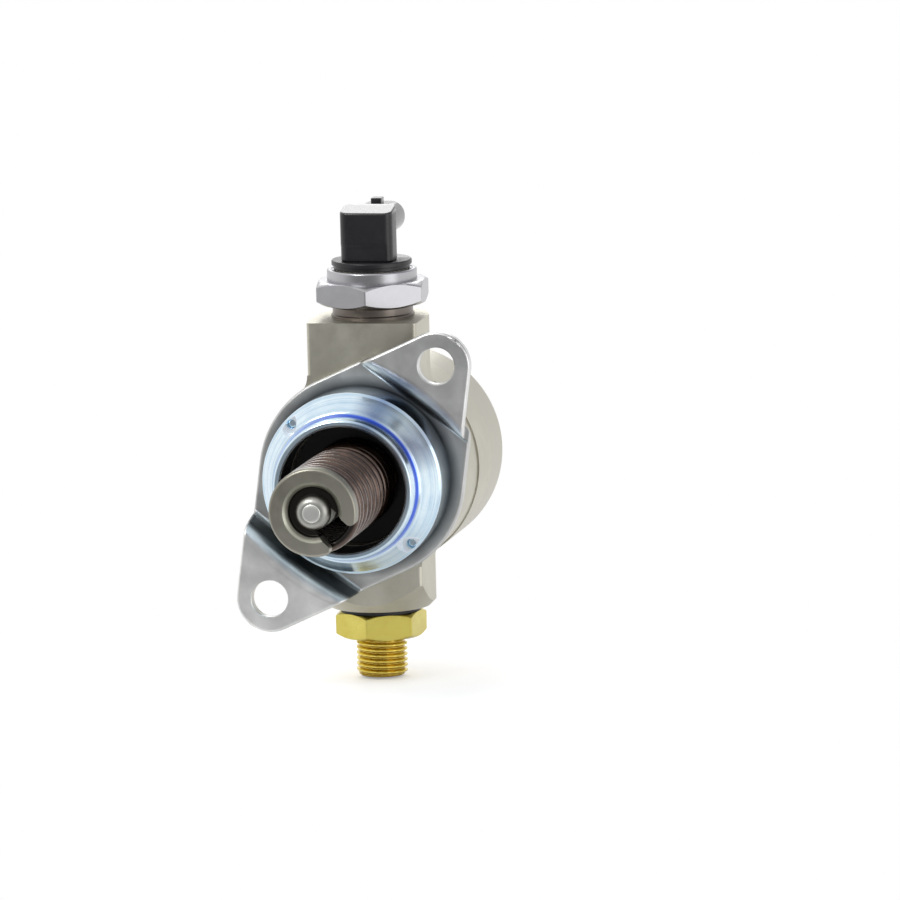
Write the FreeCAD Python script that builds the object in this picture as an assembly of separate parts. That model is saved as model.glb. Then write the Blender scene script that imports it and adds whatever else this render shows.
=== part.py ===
import FreeCAD, Part
import math
import os

# High pressure fuel pump, cam driven, with one plunger.
# Row frame: the origin is on the plunger axis, in the front face of the two flange ears.
# The plunger points along -Y at the cam, +Y runs back through the body, +Z is up.
# All lengths are in millimetres and all angles in degrees.

V = FreeCAD.Vector

# Clearances between pieces.
slide_gap = 0.02          # radial, plunger in its sleeve
seat_gap = 0.05           # radial, a turned spigot in its bore
rest_gap = 0.1            # a valve and the seat that it lies on
ball_gap = 0.3            # radial, a moving valve piece in a wide bore
spring_air = 0.3          # radial, a spring beside the wall that guides it

# Flange plate, pressed from sheet.
plate_t = 3.0
plate_drop = 10.8         # how far back the middle of the plate lies behind the ears
hole_x = 24.0
hole_z = 32.2
hole_r = 4.99
ear_r = 9.3
plate_mid_r = 28.6
bend_run = 3.5            # how far outward each slanted wall runs on its way forward
bend_r = 1.5              # inside radius of the four bends
plate_ring_gap = 0.25     # between the edge of the pilot ring and the start of a bend

# Pilot ring, screwed on the spigot of the body, clamping the plate.
ring_r = 24.9
ring_wall = 7.7           # from the bore to the outside
ring_nose_y = -13.2
ring_lip_w = 2.0
ring_groove_w = 0.7
ring_groove_y = -8.6
ring_edge_y = -0.9
ring_chamfer = 0.7
ring_back_chamfer = 0.8   # keeps the ring out of the bends of the plate
ring_step_y = -1.0
notch_r = 1.7
notch_in = 1.9            # from the outside to the axis of a notch
notch_deep_y = -0.2
notch_angles = [135.0, -45.0]

# Body.
spigot_in = 4.3           # from the outside of the ring to the outside of the spigot
spigot_front_y = 0.0
body_r = 28.0
band_step = 0.4           # by which the band behind is larger than the trunk
band_len = 16.0
block_w = 30.6
block_gap = 1.4           # between the plate and the front of the block
block_front_land = 0.6    # flat in front of the round back of the block
block_back_land = 1.6     # trunk left behind the block
block_rise = 13.4         # of the block's top above the trunk
boss_drop = 10.8          # of the boss's foot below the trunk
block_corner_r = 1.2
block_root_r = 7.0
boss_root_r = 4.0
boss_chamfer = 1.6
chamber_r = 6.5
chamber_land = 0.4        # by which the chamber reaches past the valve axis and its own radius
damper_wall = 3.0
damper_room_deep = 5.0

# Rear cap.
cap_len = 15.8
cap_wall = 2.4
cap_edge_r = 1.2

# Plunger and sleeve.
plunger_r = 5.0
stroke = 4.0              # lift of the cam
head_room = 2.0           # left above the plunger at the end of its stroke
head_front_y = -51.6
head_len = 3.3
head_r = 4.9
head_tip_r = 2.7
neck_r = 3.7
neck_len = 4.4
sleeve_r = 8.5
sleeve_front_y = 8.0
sleeve_back_y = 27.0

# Spring retainer.
retainer_r = 12.1
retainer_front_y = -50.4
retainer_t = 3.6
retainer_cup_r = 6.8
retainer_cup_deep = 2.1
retainer_bevel = 1.4
retainer_guide_r = 8.9
retainer_guide_len = 1.6
retainer_slot_w = 8.0
retainer_slot_angle = -42.0
retainer_lobe_r = 1.6

# Plunger spring.
wire_d = 2.9
spring_r = 12.1
spring_turns = 10.6
seat_y = 4.0

# Seal carrier and seal.
carrier_t = 1.5
carrier_nose_r = 8.6
carrier_nose_y = -9.0
carrier_wall = 1.6
carrier_lip = 1.0
seal_len = 6.0
seal_y = -6.9

# Solenoid valve, on the valve axis.
neck_h = 3.6
solenoid_neck_r = 11.4
solenoid_hex_af = 29.0
solenoid_hex_angle = 35.8
hex_h = 6.5
hex_chamfer = 1.0
collar_r = 12.3
collar_h = 3.0
collar_chamfer = 0.5
valve_bore_r = 9.0
valve_bore_deep = 25.4
feed_r = 1.8              # drilling from the damper room to the inlet valve
solenoid_foot_len = 14.4
coil_room_r = 10.2
coil_room_up = 2.6        # floor of the coil room above the top of the block
groove_down = 3.4         # lower edge of the groove below the top of the block
groove_h = 2.6
groove_deep = 1.6

# Inside the solenoid valve.
core_r = 4.6
core_down = 1.4           # lower end of the core below the top of the block
core_up = 1.5             # upper end of the core above the collar
armature_r = 4.4
armature_down = 8.4       # lower end of the armature below the top of the block
armature_gap = 0.5
valve_stroke = 0.4
bobbin_wall = 0.8
winding_gap = 0.2
seat_insert_h = 6.0
seat_hole_r = 2.6
stem_r = 1.2
poppet_r = 4.2
poppet_t = 1.6
core_pocket_h = 5.0       # hole in the core that takes the return spring
armature_pocket_h = 2.0   # hole in the armature that takes its other end
return_wire_d = 0.7
return_spring_r = 2.4
return_turns = 6.0

# Connector housing.
base_r = 11.0
base_step_r = 10.4
base_step_h = 1.1
base_h = 2.5
tower_w = 14.6
tower_front_y = 7.6       # in front of the valve axis
tower_back_y = 1.4        # behind the valve axis
tower_h = 14.9
tower_slope_h = 1.3       # by which the front edge of the tower is lower
tower_corner_r = 2.4
socket_w = 12.6
socket_h = 8.2
socket_up = 9.7           # axis of the socket above the base
socket_len = 15.5         # behind the valve axis
socket_wall = 1.2
socket_deep = 11.0
socket_corner_r = 3.9
rib_w = 3.0
rib_len = 10.0
latch_w = 3.0
latch_h = 1.8
latch_len = 3.5
latch_y = 7.4             # front of the latch behind the valve axis
pin_w = 0.8
pin_t = 0.64
pin_gap_x = 2.6
pin_len = 8.0
pin_root = 4.0            # length of a blade that the plastic holds

# Outlet fitting, on the valve axis.
washer_t = 1.3
washer_r = 11.0
fitting_hex_af = 22.0
fitting_hex_angle = 23.3
fitting_hex_h = 7.1
fitting_chamfer = 0.9
thread_r = 7.0
thread_len = 10.9
thread_chamfer = 1.1
thread_relief_r = 6.1
thread_relief_h = 1.4
fitting_foot_r = 7.9
fitting_foot_len = 13.0
fitting_bore_r = 4.0
fitting_bore_h = 17.0
mouth_bore_r = 2.5
cone_mouth_r = 4.6
cone_deep = 3.4
outlet_insert_r = 6.0
outlet_insert_h = 7.0
outlet_hole_r = 1.8
ball_r = 3.0
outlet_wire_d = 0.7
outlet_spring_r = 3.3
outlet_turns = 7.0

# Damper at the back of the body.
capsule_air = 4.5         # from the wall of the room to the edge of a capsule
capsule_t = 4.6
capsule_rim_t = 0.8
capsule_rim_w = 2.0
capsule_pitch_y = 6.0
spacer_w = 4.6             # width of the rings that grip the capsules
spacer_grip = 1.2          # how far a ring reaches over a rim
damper_lead = 4.0         # from the floor of the room to the first capsule

# Inlet stub on the rear cap.
stub_r = 4.75
stub_bore_r = 3.2
stub_len = 21.0
stub_bead_r = 5.6
stub_bead_from_end = 7.5
stub_foot_r = 7.6
stub_foot_t = 1.6
filter_len = 9.0
filter_wall = 0.5


# Shared places that several pieces take from one another.
block_top_z = body_r + block_rise
boss_bottom_z = -(body_r + boss_drop)
neck_top_z = block_top_z + neck_h
hex_top_z = neck_top_z + hex_h
collar_top_z = hex_top_z + collar_h
valve_bore_z = block_top_z - valve_bore_deep
solenoid_foot_z = block_top_z - solenoid_foot_len
coil_room_z = block_top_z + coil_room_up
groove_z = block_top_z - groove_down
core_bottom_z = block_top_z - core_down
core_top_z = collar_top_z + core_up
armature_bottom_z = block_top_z - armature_down
base_step_z = collar_top_z + base_step_h
base_top_z = collar_top_z + base_h
tower_top_z = base_top_z + tower_h
socket_mid_z = base_top_z + socket_up
socket_top_z = socket_mid_z + socket_h / 2.0
plate_front_y = plate_drop
plate_back_y = plate_drop + plate_t
block_front_y = plate_back_y + block_gap
valve_axis_y = block_front_y + block_front_land + block_w / 2.0
body_back_y = valve_axis_y + block_w / 2.0 + block_back_land
band_r = body_r + band_step
band_y = body_back_y - band_len
cap_back_y = body_back_y + cap_len
damper_room_r = body_r - damper_wall
damper_room_y = body_back_y - damper_room_deep
damper_first_y = damper_room_y + damper_lead
capsule_r = damper_room_r - capsule_air
chamber_end_y = valve_axis_y + chamber_r + chamber_land
ring_bore_r = ring_r - ring_wall
ring_lip_r = ring_bore_r + ring_lip_w
ring_groove_r = ring_lip_r + ring_groove_w
spring_room_r = ring_bore_r
spigot_r = ring_r - spigot_in
notch_at_r = ring_r - notch_in
spring_room_y = seat_y + carrier_t
plunger_back_y = sleeve_back_y - stroke - head_room
carrier_r = spring_room_r - seat_gap
retainer_back_y = retainer_front_y + retainer_t
cup_floor_y = retainer_front_y + retainer_cup_deep
hex_bottom_z = boss_bottom_z - washer_t
thread_top_z = hex_bottom_z - fitting_hex_h
thread_end_z = thread_top_z - thread_len
foot_top_z = boss_bottom_z + fitting_foot_len
outlet_top_z = foot_top_z + outlet_insert_h
seat_insert_top_z = valve_bore_z + seat_insert_h
core_pocket_z = core_bottom_z + core_pocket_h
armature_top_z = core_bottom_z - armature_gap
armature_pocket_z = armature_top_z - armature_pocket_h
bend_half = 0.5 * math.atan2(plate_drop, bend_run)
bend_in = ring_r + plate_ring_gap + bend_r * math.tan(bend_half)
bend_out = bend_in + bend_run

# The ball hangs just below the edge of the cone that it closes.
cone_edge_r = ball_r * 0.96
ball_centre_z = (
    foot_top_z + (cone_edge_r - ball_r * math.sqrt(2.0)) - rest_gap * math.sqrt(2.0)
)


def arc_corner(before, corner, after, radius):
    """Start, middle and end of the arc of the given radius that rounds a corner of an outline."""
    to_a = (before - corner).normalize()
    to_b = (after - corner).normalize()
    half = to_a.getAngle(to_b) / 2.0
    reach = radius / math.tan(half)
    bisector = (to_a + to_b).normalize()
    centre = corner + bisector * (radius / math.sin(half))
    return corner + to_a * reach, centre - bisector * radius, corner + to_b * reach


def outline(corners):
    """Closed face from corners (a, b, radius) in the plane of X and Y; radius 0 keeps a corner sharp."""
    count = len(corners)
    flat = [V(a, b, 0) for a, b, _ in corners]
    stretches = []
    for i in range(count):
        radius = corners[i][2]
        if radius > 0:
            stretches.append(arc_corner(flat[i - 1], flat[i], flat[(i + 1) % count], radius))
        else:
            stretches.append((flat[i], None, flat[i]))
    edges = []
    for i in range(count):
        start, middle, end = stretches[i]
        if middle is not None:
            edges.append(Part.Arc(start, middle, end).toShape())
        following = stretches[(i + 1) % count][0]
        if (following - end).Length > 1e-6:
            edges.append(Part.LineSegment(end, following).toShape())
    return Part.Face(Part.Wire(edges))


def turned_y(corners):
    """Solid of revolution about the plunger axis, from corners (radius, y, rounding)."""
    return outline(corners).revolve(V(0, 0, 0), V(0, 1, 0), 360)


def turned_z(corners):
    """Solid of revolution about the valve axis, from corners (radius, z, rounding)."""
    face = outline(corners)
    face.rotate(V(0, 0, 0), V(1, 0, 0), 90)
    solid = face.revolve(V(0, 0, 0), V(0, 0, 1), 360)
    solid.translate(V(0, valve_axis_y, 0))
    return solid


def rod_y(radius, from_y, to_y, x=0.0, z=0.0):
    """Round bar along the plunger axis."""
    return Part.makeCylinder(radius, to_y - from_y, V(x, from_y, z), V(0, 1, 0))


def rod_z(radius, from_z, to_z, x=0.0, y=valve_axis_y):
    """Round bar along the valve axis."""
    return Part.makeCylinder(radius, to_z - from_z, V(x, y, from_z), V(0, 0, 1))


def hexagon_z(across_flats, corner_angle, from_z, to_z, chamfer):
    """Hexagon on the valve axis, both ends turned to a chamfer of about 30 degrees."""
    corner = across_flats / math.sqrt(3.0)
    ring = [
        V(
            corner * math.cos(math.radians(corner_angle + 60.0 * i)),
            valve_axis_y + corner * math.sin(math.radians(corner_angle + 60.0 * i)),
            from_z,
        )
        for i in range(6)
    ]
    prism = Part.Face(Part.makePolygon(ring + ring[:1])).extrude(V(0, 0, to_z - from_z))
    inner = across_flats / 2.0 - 0.1
    outer = corner + 1.0
    slope = chamfer * (outer - inner) / (corner - inner)
    turned = turned_z(
        [
            (0, from_z, 0),
            (inner, from_z, 0),
            (outer, from_z + slope, 0),
            (outer, to_z - slope, 0),
            (inner, to_z, 0),
            (0, to_z, 0),
        ]
    )
    return prism.common(turned)


def coil_spring(mean_r, wire, turns, low, high, steps, closed=0.9, ramp=0.5):
    """Compression spring along +Z between two planes, with closed ends that are ground flat."""
    pitch_closed = wire * 1.03
    dip = 0.28 * wire
    span = high - low - 2.0 * dip
    open_turns = turns - 2.0 * closed - ramp
    pitch_open = pitch_closed + (span - turns * pitch_closed) / open_turns

    def pitch_at(turn):
        from_end = min(turn, turns - turn)
        share = min(1.0, max(0.0, (from_end - closed) / ramp))
        return pitch_closed + (pitch_open - pitch_closed) * share

    count = int(round(turns * steps))
    height = low + dip
    points = []
    for i in range(count + 1):
        turn = turns * i / count
        angle = 2.0 * math.pi * turn
        points.append(V(mean_r * math.cos(angle), mean_r * math.sin(angle), height))
        height += pitch_at(turn + 0.5 * turns / count) * turns / count
    curve = Part.BSplineCurve()
    curve.interpolate(points)
    path = Part.Wire([curve.toShape()])
    tangent = curve.tangent(curve.FirstParameter)[0]
    section = Part.Wire([Part.makeCircle(wire / 2.0, points[0], tangent)])
    coil = path.makePipeShell([section], True, True)
    solid = Part.Solid(coil) if coil.ShapeType == "Shell" else coil
    reach = 2.0 * (mean_r + wire)
    slab = Part.makeBox(reach, reach, high - low, V(-reach / 2.0, -reach / 2.0, low))
    return solid.common(slab)


def one_solid(shape):
    """The single solid in a result, with needless seams removed."""
    clean = shape.removeSplitter()
    return clean.Solids[0] if len(clean.Solids) == 1 else clean


def plunger_rod():
    """Ground plunger: flat tip, domed head, neck for the retainer and a long shaft."""
    head_back = head_front_y + head_len
    neck_back = head_back + neck_len
    shaft = turned_y(
        [
            (0, head_front_y, 0),
            (head_tip_r, head_front_y, 0.4),
            (head_r, head_front_y + 1.5, 1.0),
            (head_r, head_back, 0),
            (neck_r, head_back, 0),
            (neck_r, neck_back, 0),
            (plunger_r, neck_back + 0.6, 0),
            (plunger_r, plunger_back_y - 0.5, 0),
            (plunger_r - 0.5, plunger_back_y, 0),
            (0, plunger_back_y, 0),
        ]
    )
    return shaft


def spring_retainer():
    """Thick washer with a bevelled cup, a guide collar and a side slot that slips over the neck."""
    disc = turned_y(
        [
            (neck_r + ball_gap, cup_floor_y, 0),
            (retainer_cup_r, cup_floor_y, 0.5),
            (retainer_cup_r, retainer_front_y + retainer_bevel, 0),
            (retainer_cup_r + retainer_bevel, retainer_front_y, 0),
            (retainer_r, retainer_front_y, 0.9),
            (retainer_r, retainer_back_y, 0.4),
            (retainer_guide_r, retainer_back_y, 0),
            (retainer_guide_r, retainer_back_y + retainer_guide_len, 0.5),
            (neck_r + ball_gap, retainer_back_y + retainer_guide_len, 0),
        ]
    )
    half = retainer_slot_w / 2.0
    far = retainer_r + 2.0
    plan = Part.Face(Part.Wire([Part.makeCircle(retainer_r, V(0, 0, 0), V(0, 1, 0))]))
    slot = Part.Face(
        Part.makePolygon([V(0, 0, -half), V(far, 0, -half), V(far, 0, half), V(0, 0, half), V(0, 0, -half)])
    )
    plan = plan.cut(slot).Faces[0].makeOffset2D(-retainer_lobe_r).makeOffset2D(retainer_lobe_r)
    plan.rotate(V(0, 0, 0), V(0, 1, 0), -retainer_slot_angle)
    tall = retainer_t + retainer_guide_len + 2.0
    blank = plan.extrude(V(0, tall, 0))
    blank.translate(V(0, retainer_front_y - 1.0, 0))
    return one_solid(disc.common(blank))


def plunger_spring():
    """Main spring, from its seat on the seal carrier to the retainer."""
    length = seat_y - retainer_back_y - seat_gap
    coil = coil_spring(spring_r - wire_d / 2.0, wire_d, spring_turns, 0.0, length, 14)
    coil.rotate(V(0, 0, 0), V(1, 0, 0), 90)
    coil.translate(V(0, seat_y, 0))
    return coil


def pilot_ring():
    """Turned ring that locates the pump in the engine, with two notches for a pin wrench."""
    ring = turned_y(
        [
            (ring_bore_r, ring_nose_y, 0.8),
            (ring_lip_r, ring_nose_y, 0.8),
            (ring_groove_r - 0.3, ring_groove_y, 1.6),
            (ring_groove_r + 0.6, ring_groove_y + 0.4, 0.5),
            (ring_r - ring_chamfer, ring_edge_y - ring_chamfer, 0.3),
            (ring_r, ring_edge_y, 0.3),
            (ring_r, plate_front_y - ring_back_chamfer, 0),
            (ring_r - ring_back_chamfer, plate_front_y, 0),
            (spigot_r + seat_gap, plate_front_y, 0),
            (spigot_r + seat_gap, ring_step_y, 0),
            (ring_bore_r, ring_step_y, 0),
        ]
    )
    for angle in notch_angles:
        a = math.radians(angle)
        x = notch_at_r * math.cos(a)
        z = notch_at_r * math.sin(a)
        drill = rod_y(notch_r, ring_nose_y, notch_deep_y, x, z)
        ball = Part.makeSphere(notch_r, V(x, notch_deep_y, z))
        ring = ring.cut(drill.fuse(ball))
    return one_solid(ring)


def flange_section():
    """The plate as a bent strip: middle behind, two slanted walls, an ear in front at each end."""
    lean = bend_out - bend_in
    slant = math.hypot(lean, plate_drop)
    shift = plate_t * (slant - lean) / plate_drop
    long = math.hypot(hole_x, hole_z) + ear_r + 2.0
    inner = bend_r
    outer = bend_r + plate_t
    front = [
        (-long, 0.0, 0),
        (-bend_out, 0.0, outer),
        (-bend_in, plate_front_y, inner),
        (bend_in, plate_front_y, inner),
        (bend_out, 0.0, outer),
        (long, 0.0, 0),
    ]
    back = [
        (long, plate_t, 0),
        (bend_out + shift, plate_t, inner),
        (bend_in + shift, plate_back_y, outer),
        (-bend_in - shift, plate_back_y, outer),
        (-bend_out - shift, plate_t, inner),
        (-long, plate_t, 0),
    ]
    return outline(front + back)


def flange_outline():
    """Plan of the plate: a round middle drawn out to two round ears by straight tangents."""
    reach = math.hypot(hole_x, hole_z)
    turn = math.acos((plate_mid_r - ear_r) / reach)
    wide_a = plate_mid_r * math.cos(turn)
    wide_b = plate_mid_r * math.sin(turn)
    ear_a = reach + ear_r * math.cos(turn)
    ear_b = ear_r * math.sin(turn)
    tip = reach + ear_r
    edges = [
        Part.LineSegment(V(wide_a, 0, wide_b), V(ear_a, 0, ear_b)).toShape(),
        Part.Arc(V(ear_a, 0, ear_b), V(tip, 0, 0), V(ear_a, 0, -ear_b)).toShape(),
        Part.LineSegment(V(ear_a, 0, -ear_b), V(wide_a, 0, -wide_b)).toShape(),
        Part.Arc(V(wide_a, 0, -wide_b), V(0, 0, -plate_mid_r), V(-wide_a, 0, -wide_b)).toShape(),
        Part.LineSegment(V(-wide_a, 0, -wide_b), V(-ear_a, 0, -ear_b)).toShape(),
        Part.Arc(V(-ear_a, 0, -ear_b), V(-tip, 0, 0), V(-ear_a, 0, ear_b)).toShape(),
        Part.LineSegment(V(-ear_a, 0, ear_b), V(-wide_a, 0, wide_b)).toShape(),
        Part.Arc(V(-wide_a, 0, wide_b), V(0, 0, plate_mid_r), V(wide_a, 0, wide_b)).toShape(),
    ]
    return Part.Face(Part.Wire(edges))


def flange_plate():
    """Pressed plate with two ears that stand forward of its middle on an S-shaped bend."""
    width = plate_mid_r + 2.0
    strip = flange_section().extrude(V(0, 0, 2.0 * width))
    strip.translate(V(0, 0, -width))
    plan = flange_outline().extrude(V(0, plate_back_y + 2.0, 0))
    plan.translate(V(0, -1.0, 0))
    plate = strip.common(plan)
    reach = math.hypot(hole_x, hole_z)
    plate = plate.cut(rod_y(spigot_r + seat_gap, -1.0, plate_back_y + 1.0))
    for side in (1, -1):
        plate = plate.cut(rod_y(hole_r, -1.0, plate_t + 1.0, side * reach, 0.0))
    plate.rotate(V(0, 0, 0), V(0, 1, 0), -math.degrees(math.atan2(hole_z, hole_x)))
    return one_solid(plate)


def side_block(low_z, high_z):
    """Boss on the valve axis: square to the front and round behind."""
    half = block_w / 2.0
    front = Part.makeBox(
        block_w, valve_axis_y - block_front_y, high_z - low_z, V(-half, block_front_y, low_z)
    )
    block = front.fuse(rod_z(half, low_z, high_z)).removeSplitter()
    corners = [
        e
        for e in block.Edges
        if abs(e.BoundBox.ZLength - (high_z - low_z)) < 1e-3
        and abs(e.CenterOfMass.y - block_front_y) < 1e-3
    ]
    return block.makeFillet(block_corner_r, corners)


def root_flare(radius, up):
    """Concave root of a boss: the arc that touches its flat side and the round trunk, led round the back."""
    side = block_w / 2.0
    centre_x = side + radius
    centre_z = math.sqrt((body_r + radius) ** 2 - centre_x**2)
    share = body_r / (body_r + radius)
    on_trunk = V(centre_x * share, 0, centre_z * share)
    on_side = V(side, 0, centre_z)
    aim = (on_trunk + on_side) * 0.5 - V(centre_x, 0, centre_z)
    middle = V(centre_x, 0, centre_z) + aim.normalize() * radius
    inner = V(side - 3.0, 0, centre_z)
    foot = V(side - 3.0, 0, on_trunk.z - 2.0)
    toe = V(on_trunk.x - 0.5, 0, on_trunk.z - 2.0)
    edges = [
        Part.LineSegment(inner, on_side).toShape(),
        Part.Arc(on_side, middle, on_trunk).toShape(),
        Part.LineSegment(on_trunk, toe).toShape(),
        Part.LineSegment(toe, foot).toShape(),
        Part.LineSegment(foot, inner).toShape(),
    ]
    wedge = Part.Face(Part.Wire(edges))
    wedge.translate(V(0, valve_axis_y, 0))
    mirrored = wedge.mirror(V(0, 0, 0), V(1, 0, 0))
    reach = V(0, block_front_y - valve_axis_y, 0)
    back = wedge.revolve(V(0, valve_axis_y, 0), V(0, 0, 1), 180)
    flare = back.fuse([wedge.extrude(reach), mirrored.extrude(reach)])
    if not up:
        flare = flare.mirror(V(0, 0, 0), V(0, 0, 1))
    return flare.common(rod_y(2.0 * body_r, block_front_y, body_back_y))


def pump_body():
    """Nickel plated body: turned barrel, valve block above, outlet boss below, bores inside."""
    trunk = rod_y(body_r, plate_back_y, body_back_y)
    top = side_block(0.0, block_top_z)
    low = side_block(boss_bottom_z, 0.0)
    band = rod_y(band_r, band_y, body_back_y)
    spigot = rod_y(spigot_r, spigot_front_y, plate_back_y)
    solid = trunk.fuse(
        [top, low, band, spigot, root_flare(block_root_r, True), root_flare(boss_root_r, False)]
    )
    turned_foot = turned_z(
        [
            (block_w / 2.0 - boss_chamfer, boss_bottom_z, 0),
            (block_w, boss_bottom_z + block_w / 2.0 + boss_chamfer, 0),
            (block_w, boss_bottom_z - 1.0, 0),
            (block_w / 2.0 - boss_chamfer, boss_bottom_z - 1.0, 0),
        ]
    )
    solid = solid.cut(turned_foot)
    upper_port_r = poppet_r + 0.8
    feed_z = seat_insert_top_z + feed_r
    bores = [
        rod_y(spring_room_r, spigot_front_y - 1.0, spring_room_y),
        rod_y(sleeve_r + seat_gap, spring_room_y - 1.0, sleeve_back_y),
        rod_y(chamber_r, sleeve_back_y - 1.0, chamber_end_y),
        rod_y(damper_room_r, damper_room_y, body_back_y + 1.0),
        rod_z(valve_bore_r, valve_bore_z, block_top_z + 1.0),
        rod_z(upper_port_r, 0.0, valve_bore_z + 1.0),
        rod_z(outlet_hole_r, outlet_top_z - 1.0, 0.0),
        rod_z(outlet_insert_r + seat_gap, foot_top_z - 1.0, outlet_top_z),
        rod_z(fitting_foot_r + seat_gap, boss_bottom_z - 1.0, foot_top_z),
        rod_y(feed_r, valve_axis_y, damper_room_y + 1.0, 0.0, feed_z),
    ]
    for bore in bores:
        solid = solid.cut(bore)
    return one_solid(solid)


def plunger_sleeve():
    """Hardened sleeve in which the plunger runs."""
    bore = plunger_r + slide_gap
    return turned_y(
        [
            (bore, sleeve_front_y, 0),
            (sleeve_r, sleeve_front_y, 0),
            (sleeve_r, sleeve_back_y, 0),
            (bore, sleeve_back_y, 0),
        ]
    )


def seal_carrier():
    """Cup that seats the spring on its flange and holds the plunger seal in its nose."""
    inner = carrier_nose_r - carrier_wall
    lip = plunger_r + 0.6
    return turned_y(
        [
            (lip, carrier_nose_y, 0),
            (carrier_nose_r - 0.8, carrier_nose_y, 0),
            (carrier_nose_r, carrier_nose_y + 0.8, 0),
            (carrier_nose_r, seat_y, 0),
            (carrier_r, seat_y, 0),
            (carrier_r, seat_y + carrier_t, 0),
            (inner, seat_y + carrier_t, 0),
            (inner, carrier_nose_y + carrier_lip, 0),
            (lip, carrier_nose_y + carrier_lip, 0),
        ]
    )


def plunger_seal():
    """Rubber-loaded plastic seal that keeps fuel and oil apart."""
    return turned_y(
        [
            (plunger_r + seat_gap, seal_y, 0),
            (carrier_nose_r - carrier_wall - seat_gap, seal_y, 0),
            (carrier_nose_r - carrier_wall - seat_gap, seal_y + seal_len, 0),
            (plunger_r + seat_gap, seal_y + seal_len, 0),
        ]
    )


def rear_cap():
    """Turned cover over the damper room, closed behind, with a hole for the inlet stub."""
    inner = band_r - cap_wall
    hole = stub_r + seat_gap
    return turned_y(
        [
            (hole, cap_back_y - cap_wall, 0),
            (inner, cap_back_y - cap_wall, 1.5),
            (inner, body_back_y, 0),
            (band_r, body_back_y, 0),
            (band_r, cap_back_y, cap_edge_r),
            (hole, cap_back_y, 0),
        ]
    )


def damper_capsules():
    """Two gas-filled capsules of corrugated sheet, welded at the rim."""
    solids = []
    for i in range(2):
        mid = damper_first_y + capsule_t / 2.0 + i * capsule_pitch_y
        half = capsule_t / 2.0
        rim = capsule_rim_t / 2.0
        body = capsule_r - capsule_rim_w
        solids.append(
            turned_y(
                [
                    (0, mid - half, 0),
                    (body * 0.38, mid - half, 0),
                    (body * 0.5, mid - half + 0.6, 0),
                    (body * 0.62, mid - half, 0),
                    (body * 0.86, mid - half, 0),
                    (body, mid - rim, 0),
                    (capsule_r, mid - rim, 0),
                    (capsule_r, mid + rim, 0),
                    (body, mid + rim, 0),
                    (body * 0.86, mid + half, 0),
                    (body * 0.62, mid + half, 0),
                    (body * 0.5, mid + half - 0.6, 0),
                    (body * 0.38, mid + half, 0),
                    (0, mid + half, 0),
                ]
            )
        )
    return Part.makeCompound(solids)


def damper_rings():
    """Three spacer rings that grip the rims of the capsules between the body and the cap."""
    solids = []
    first = damper_first_y + capsule_t / 2.0
    rim = capsule_rim_t / 2.0
    inner = capsule_r - spacer_grip
    spans = [
        (damper_room_y, first - rim),
        (first + rim, first + capsule_pitch_y - rim),
        (first + capsule_pitch_y + rim, cap_back_y - cap_wall),
    ]
    for low, high in spans:
        solids.append(
            turned_y(
                [
                    (inner, low, 0),
                    (inner + spacer_w, low, 0),
                    (inner + spacer_w, high, 0),
                    (inner, high, 0),
                ]
            )
        )
    return Part.makeCompound(solids)


def inlet_stub():
    """Low pressure stub for a quick connector, with a bead and a foot welded on the cap."""
    end = cap_back_y + stub_len
    bead = end - stub_bead_from_end
    return turned_y(
        [
            (stub_bore_r, cap_back_y - cap_wall, 0),
            (stub_r, cap_back_y - cap_wall, 0),
            (stub_r, cap_back_y, 0),
            (stub_foot_r, cap_back_y, 0),
            (stub_foot_r, cap_back_y + stub_foot_t, 0.5),
            (stub_r, cap_back_y + stub_foot_t, 0.5),
            (stub_r, bead - 1.2, 0.4),
            (stub_bead_r, bead - 0.6, 0.3),
            (stub_bead_r, bead + 0.6, 0.3),
            (stub_r, bead + 1.2, 0.4),
            (stub_r, end - 1.0, 0),
            (stub_r - 0.6, end, 0),
            (stub_bore_r, end, 0),
        ]
    )


def inlet_filter():
    """Fine strainer cup in the inlet stub."""
    back = cap_back_y + filter_len
    outer = stub_bore_r - seat_gap
    return turned_y(
        [
            (0, cap_back_y, 0),
            (outer - 0.4, cap_back_y, 0),
            (outer, back - 1.0, 0),
            (outer, back, 0),
            (outer - filter_wall, back, 0),
            (outer - filter_wall, back - 1.0, 0),
            (outer - 0.4 - filter_wall, cap_back_y + filter_wall, 0),
            (0, cap_back_y + filter_wall, 0),
        ]
    )


def solenoid_housing():
    """Steel housing of the solenoid valve: foot in the bore, neck, hexagon and collar in one piece."""
    foot_r = valve_bore_r - seat_gap
    tube = armature_r + slide_gap * 2.0
    turned = turned_z(
        [
            (tube, solenoid_foot_z, 0),
            (foot_r, solenoid_foot_z, 0),
            (foot_r, groove_z, 0),
            (foot_r - groove_deep, groove_z, 0),
            (foot_r - groove_deep, groove_z + groove_h, 0),
            (foot_r, groove_z + groove_h, 0),
            (foot_r, block_top_z, 0),
            (solenoid_neck_r, block_top_z, 0),
            (solenoid_neck_r, neck_top_z + 1.0, 0),
            (collar_r, neck_top_z + 1.0, 0),
            (collar_r, collar_top_z, collar_chamfer),
            (coil_room_r, collar_top_z, 0),
            (coil_room_r, coil_room_z, 0),
            (tube, coil_room_z, 0),
        ]
    )
    hexagon = hexagon_z(
        solenoid_hex_af, solenoid_hex_angle, neck_top_z, hex_top_z, hex_chamfer
    ).cut(rod_z(coil_room_r + 1.0, neck_top_z - 1.0, hex_top_z + 1.0))
    return one_solid(turned.fuse(hexagon))


def solenoid_seal():
    """O-ring that seals the foot of the solenoid valve in its bore."""
    cord = (groove_deep - 0.1) / 2.0
    centre = V(0, valve_axis_y, groove_z + groove_h / 2.0)
    mid = valve_bore_r - seat_gap - groove_deep + cord + 0.05
    return Part.makeTorus(mid, cord, centre, V(0, 0, 1))


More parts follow.
